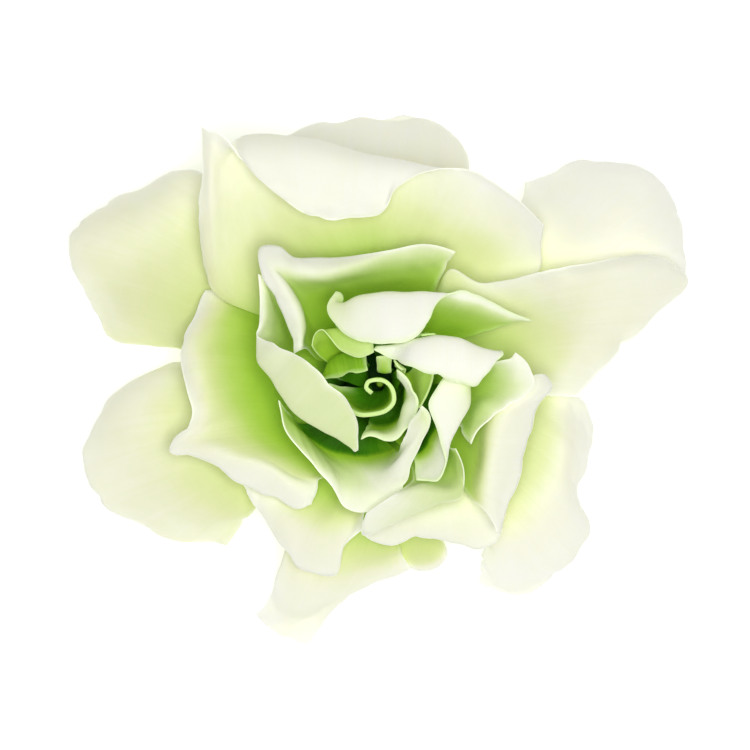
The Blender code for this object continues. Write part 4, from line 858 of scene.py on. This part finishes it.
def add_stem_pieces():
    """The flower tube, the ribbed ovary with its sepals, and the stalk stub."""
    green = leaf_green("calyx skin", (0.05, 0.15, 0.02), (0.16, 0.32, 0.06))
    add_piece("flower_tube", turned(tube_profile()), tube_skin_and_shade(), "corolla_tube")
    add_piece("ovary", turned(OVARY_PROFILE, RIB_DEPTH), green, "calyx")
    add_sepals(green)
    bark = leaf_green("stalk skin", (0.07, 0.13, 0.03), (0.2, 0.3, 0.1))
    add_piece("stalk_stub", turned(STALK_PROFILE), bark, "stalk")


def new_material(name):
    material = bpy.data.materials.new(name)
    material.use_nodes = True
    return material, material.node_tree, material.node_tree.nodes["Principled BSDF"]


def set_inputs(tree, node, inputs):
    """Gives each input its value, or links it to the output given in place of one."""
    for name, given in inputs.items():
        if isinstance(given, bpy.types.NodeSocket):
            tree.links.new(given, node.inputs[name])
        else:
            node.inputs[name].default_value = given


def add_node(tree, kind, inputs, **settings):
    made = tree.nodes.new(kind)
    for setting, value in settings.items():
        setattr(made, setting, value)
    set_inputs(tree, made, inputs)
    return made


def reckoned(tree, operation, *values):
    return add_node(tree, "ShaderNodeMath", dict(enumerate(values)), operation=operation).outputs[0]


def plus_part(tree, base, pattern, amount):
    """The base value with a pattern, centred on a half, added to it in the given amount."""
    return reckoned(tree, "MULTIPLY_ADD", reckoned(tree, "SUBTRACT", pattern, 0.5), amount, base)


def ramp_of(tree, factor, stops):
    """Colours by a value: stops are (place, colour) pairs."""
    ramp = add_node(tree, "ShaderNodeValToRGB", {"Fac": factor})
    bar = ramp.color_ramp
    for element, (place, colour) in zip(bar.elements, (stops[0], stops[-1])):
        element.position, element.color = place, (*colour, 1.0)
    for place, colour in stops[1:-1]:
        bar.elements.new(place).color = (*colour, 1.0)
    return ramp.outputs["Color"]


def own_space(tree):
    return tree.nodes.new("ShaderNodeTexCoord").outputs["Object"]


def noise_of(tree, scale, detail):
    """Noise in the bloom's own space."""
    inputs = {"Vector": own_space(tree), "Scale": scale, "Detail": detail}
    return add_node(tree, "ShaderNodeTexNoise", inputs).outputs["Fac"]


def drawn_out(tree, place, stretch, detail, distortion=0.0):
    """Noise with a scale of its own on each axis of the given space."""
    stretched = add_node(tree, "ShaderNodeMapping", {"Vector": place, "Scale": stretch}).outputs["Vector"]
    inputs = {"Vector": stretched, "Scale": 1.0, "Detail": detail, "Distortion": distortion}
    return add_node(tree, "ShaderNodeTexNoise", inputs).outputs["Fac"]


def blended(tree, factor, base, colour, how):
    """The base colour with another laid over it, as far as the factor says."""
    inputs = {0: factor, 6: base, 7: (*colour, 1.0)}
    return add_node(tree, "ShaderNodeMix", inputs, data_type="RGBA", blend_type=how).outputs[2]


def rough_and_grained(tree, shader, roughness, height, strength=0.3, distance=0.0002):
    """A slightly uneven gloss, and a bump from the given height."""
    patches = noise_of(tree, scale=900.0, detail=2.0)
    limits = {"Value": patches, "To Min": roughness - UNEVENNESS, "To Max": roughness + UNEVENNESS}
    satin = add_node(tree, "ShaderNodeMapRange", limits).outputs["Result"]
    bump = add_node(tree, "ShaderNodeBump", {"Height": height, "Strength": strength, "Distance": distance})
    set_inputs(tree, shader, {"Roughness": satin, "Normal": bump.outputs["Normal"]})


def petal_wax(name, flesh_and_shade, rim_light_colour, roughness, gloss, painted_glow, edge_glow_factor):
    """Flesh from near white at the margin to leaf green, painted near black at the claw as shade, with
    streaks that fan out along it, and a pale line of painted light along the margin.

    The petal also gives out its own colour as a faint painted glow, several times stronger at the thin
    edge, which lightens its shaded parts.
    """
    material, tree, shader = new_material(name)
    lengthwise = add_node(tree, "ShaderNodeUVMap", {}, uv_map="petal").outputs["UV"]
    streaks = drawn_out(tree, lengthwise, stretch=(42.0, 1.6, 1.0), detail=3.0, distortion=0.5)
    green, rim = (add_node(tree, "ShaderNodeAttribute", {}, attribute_name=layer).outputs["Fac"]
                  for layer in ("green", "rim"))
    green = plus_part(tree, green, noise_of(tree, scale=170.0, detail=3.0), amount=0.08)
    green = plus_part(tree, green, streaks, amount=0.05)
    warmth = noise_of(tree, scale=60.0, detail=2.0)
    # The flesh ramp's dark end is painted shade.
    plain = blended(tree, warmth, ramp_of(tree, green, flesh_and_shade), WARM_TINT, "MULTIPLY")
    # The margin's pale line mixed over the flesh is painted light.
    colour = blended(tree, reckoned(tree, "MULTIPLY", rim, RIM_LIGHT_SHARE), plain, rim_light_colour, "MIX")
    edge_glow_colour = tuple(edge_glow_factor * part for part in rim_light_colour)
    grain = plus_part(tree, streaks, noise_of(tree, scale=2600.0, detail=2.0), amount=0.35)
    rough_and_grained(tree, shader, roughness, grain)
    # Painted glow: the petal gives out its own colour, brighter at the margin, so its shade stays light.
    set_inputs(tree, shader, {
        "Base Color": colour,
        "Emission Color": blended(tree, reckoned(tree, "POWER", rim, EDGE_GLOW_FALL), colour, edge_glow_colour, "MIX"),
        "Emission Strength": painted_glow,
        "IOR": 1.33,
        "Specular IOR Level": gloss,
        "Subsurface Weight": 0.35,
        "Subsurface Radius": (0.68, 0.66, 0.72),
        "Subsurface Scale": 0.0006,
    })
    return material


def tube_skin_and_shade():
    """Pale green skin, painted nearly black between the petals' claws as shade in the bloom's depth, and
    green again on the style.
    """
    material, tree, shader = new_material("tube skin and painted shade")
    height = add_node(tree, "ShaderNodeSeparateXYZ", {"Vector": own_space(tree)}).outputs["Z"]
    limits = {"Value": height, "From Min": TUBE_FOOT, "From Max": STYLE_TIP}
    share = add_node(tree, "ShaderNodeMapRange", limits).outputs["Result"]
    patched = plus_part(tree, share, noise_of(tree, scale=400.0, detail=3.0), amount=0.15)
    grain = noise_of(tree, scale=1500.0, detail=3.0)
    rough_and_grained(tree, shader, roughness=0.55, height=grain)
    set_inputs(tree, shader, {"Base Color": ramp_of(tree, patched, TUBE_SKIN_AND_SHADE), "Specular IOR Level": 0.1})
    return material


def leaf_green(name, dark, light):
    """Green skin with fine lengthwise flecks and a soft uneven gloss."""
    material, tree, shader = new_material(name)
    flecks = drawn_out(tree, own_space(tree), stretch=(1400.0, 1400.0, 260.0), detail=4.0)
    mottled = plus_part(tree, flecks, noise_of(tree, scale=220.0, detail=3.0), amount=0.6)
    rough_and_grained(tree, shader, roughness=0.5, height=flecks, strength=0.5, distance=0.0003)
    set_inputs(tree, shader, {
        "Base Color": ramp_of(tree, mottled, ((0.3, dark), (0.7, light))),
        "Subsurface Weight": 0.15,
        "Subsurface Scale": 0.0005,
    })
    return material


def add_floor():
    bm = bmesh.new()
    bmesh.ops.create_grid(bm, x_segments=1, y_segments=1, size=3.0)
    paper, tree, shader = new_material("white paper")
    set_inputs(tree, shader, {
        "Base Color": ramp_of(tree, noise_of(tree, scale=40.0, detail=3.0), PAPER_TONES),
        "Roughness": 0.9,
        "Emission Color": (1.0, 1.0, 1.0, 1.0),
        "Emission Strength": 0.4,
    })
    mesh_object("floor", bm, paper)


def add_softbox(name, place, size, power):
    """A large square lamp that points at the middle of the bloom."""
    lamp = bpy.data.lights.new(name, "AREA")
    lamp.size = size
    lamp.energy = power
    softbox = add_object(name, lamp)
    softbox.location = place
    direction = Vector(LIT_SPOT) - softbox.location
    softbox.rotation_euler = direction.to_track_quat("-Z", "Y").to_euler()
    softbox.visible_camera = False


def add_lights():
    world = bpy.data.worlds.new("white room")
    world.use_nodes = True
    sky = world.node_tree.nodes["Background"]
    set_inputs(world.node_tree, sky, {"Color": (1.0, 1.0, 1.0, 1.0), "Strength": 0.2})
    bpy.context.scene.world = world
    add_softbox("overhead softbox", place=(0.05, -0.04, 1.1), size=0.45, power=8.0)
    add_softbox("front softbox", place=(0.0, -0.85, 0.6), size=0.5, power=1.0)


def add_camera():
    """Straight above the bloom, from so far away that its tall heart is drawn hardly larger."""
    lens = bpy.data.cameras.new("camera")
    lens.sensor_width = SENSOR
    lens.lens = SENSOR * CAMERA_HEIGHT / VIEW_WIDTH
    lens.clip_end = 10.0
    camera = add_object("camera", lens)
    camera.location = (VIEW_MIDDLE[0] * MM, VIEW_MIDDLE[1] * MM, (CAMERA_HEIGHT + OUTER_HEIGHT) * MM)
    bpy.context.scene.camera = camera


def main():
    add_petals()
    add_stem_pieces()
    add_floor()
    add_lights()
    add_camera()
    bpy.context.scene.view_settings.view_transform = "Standard"


main()
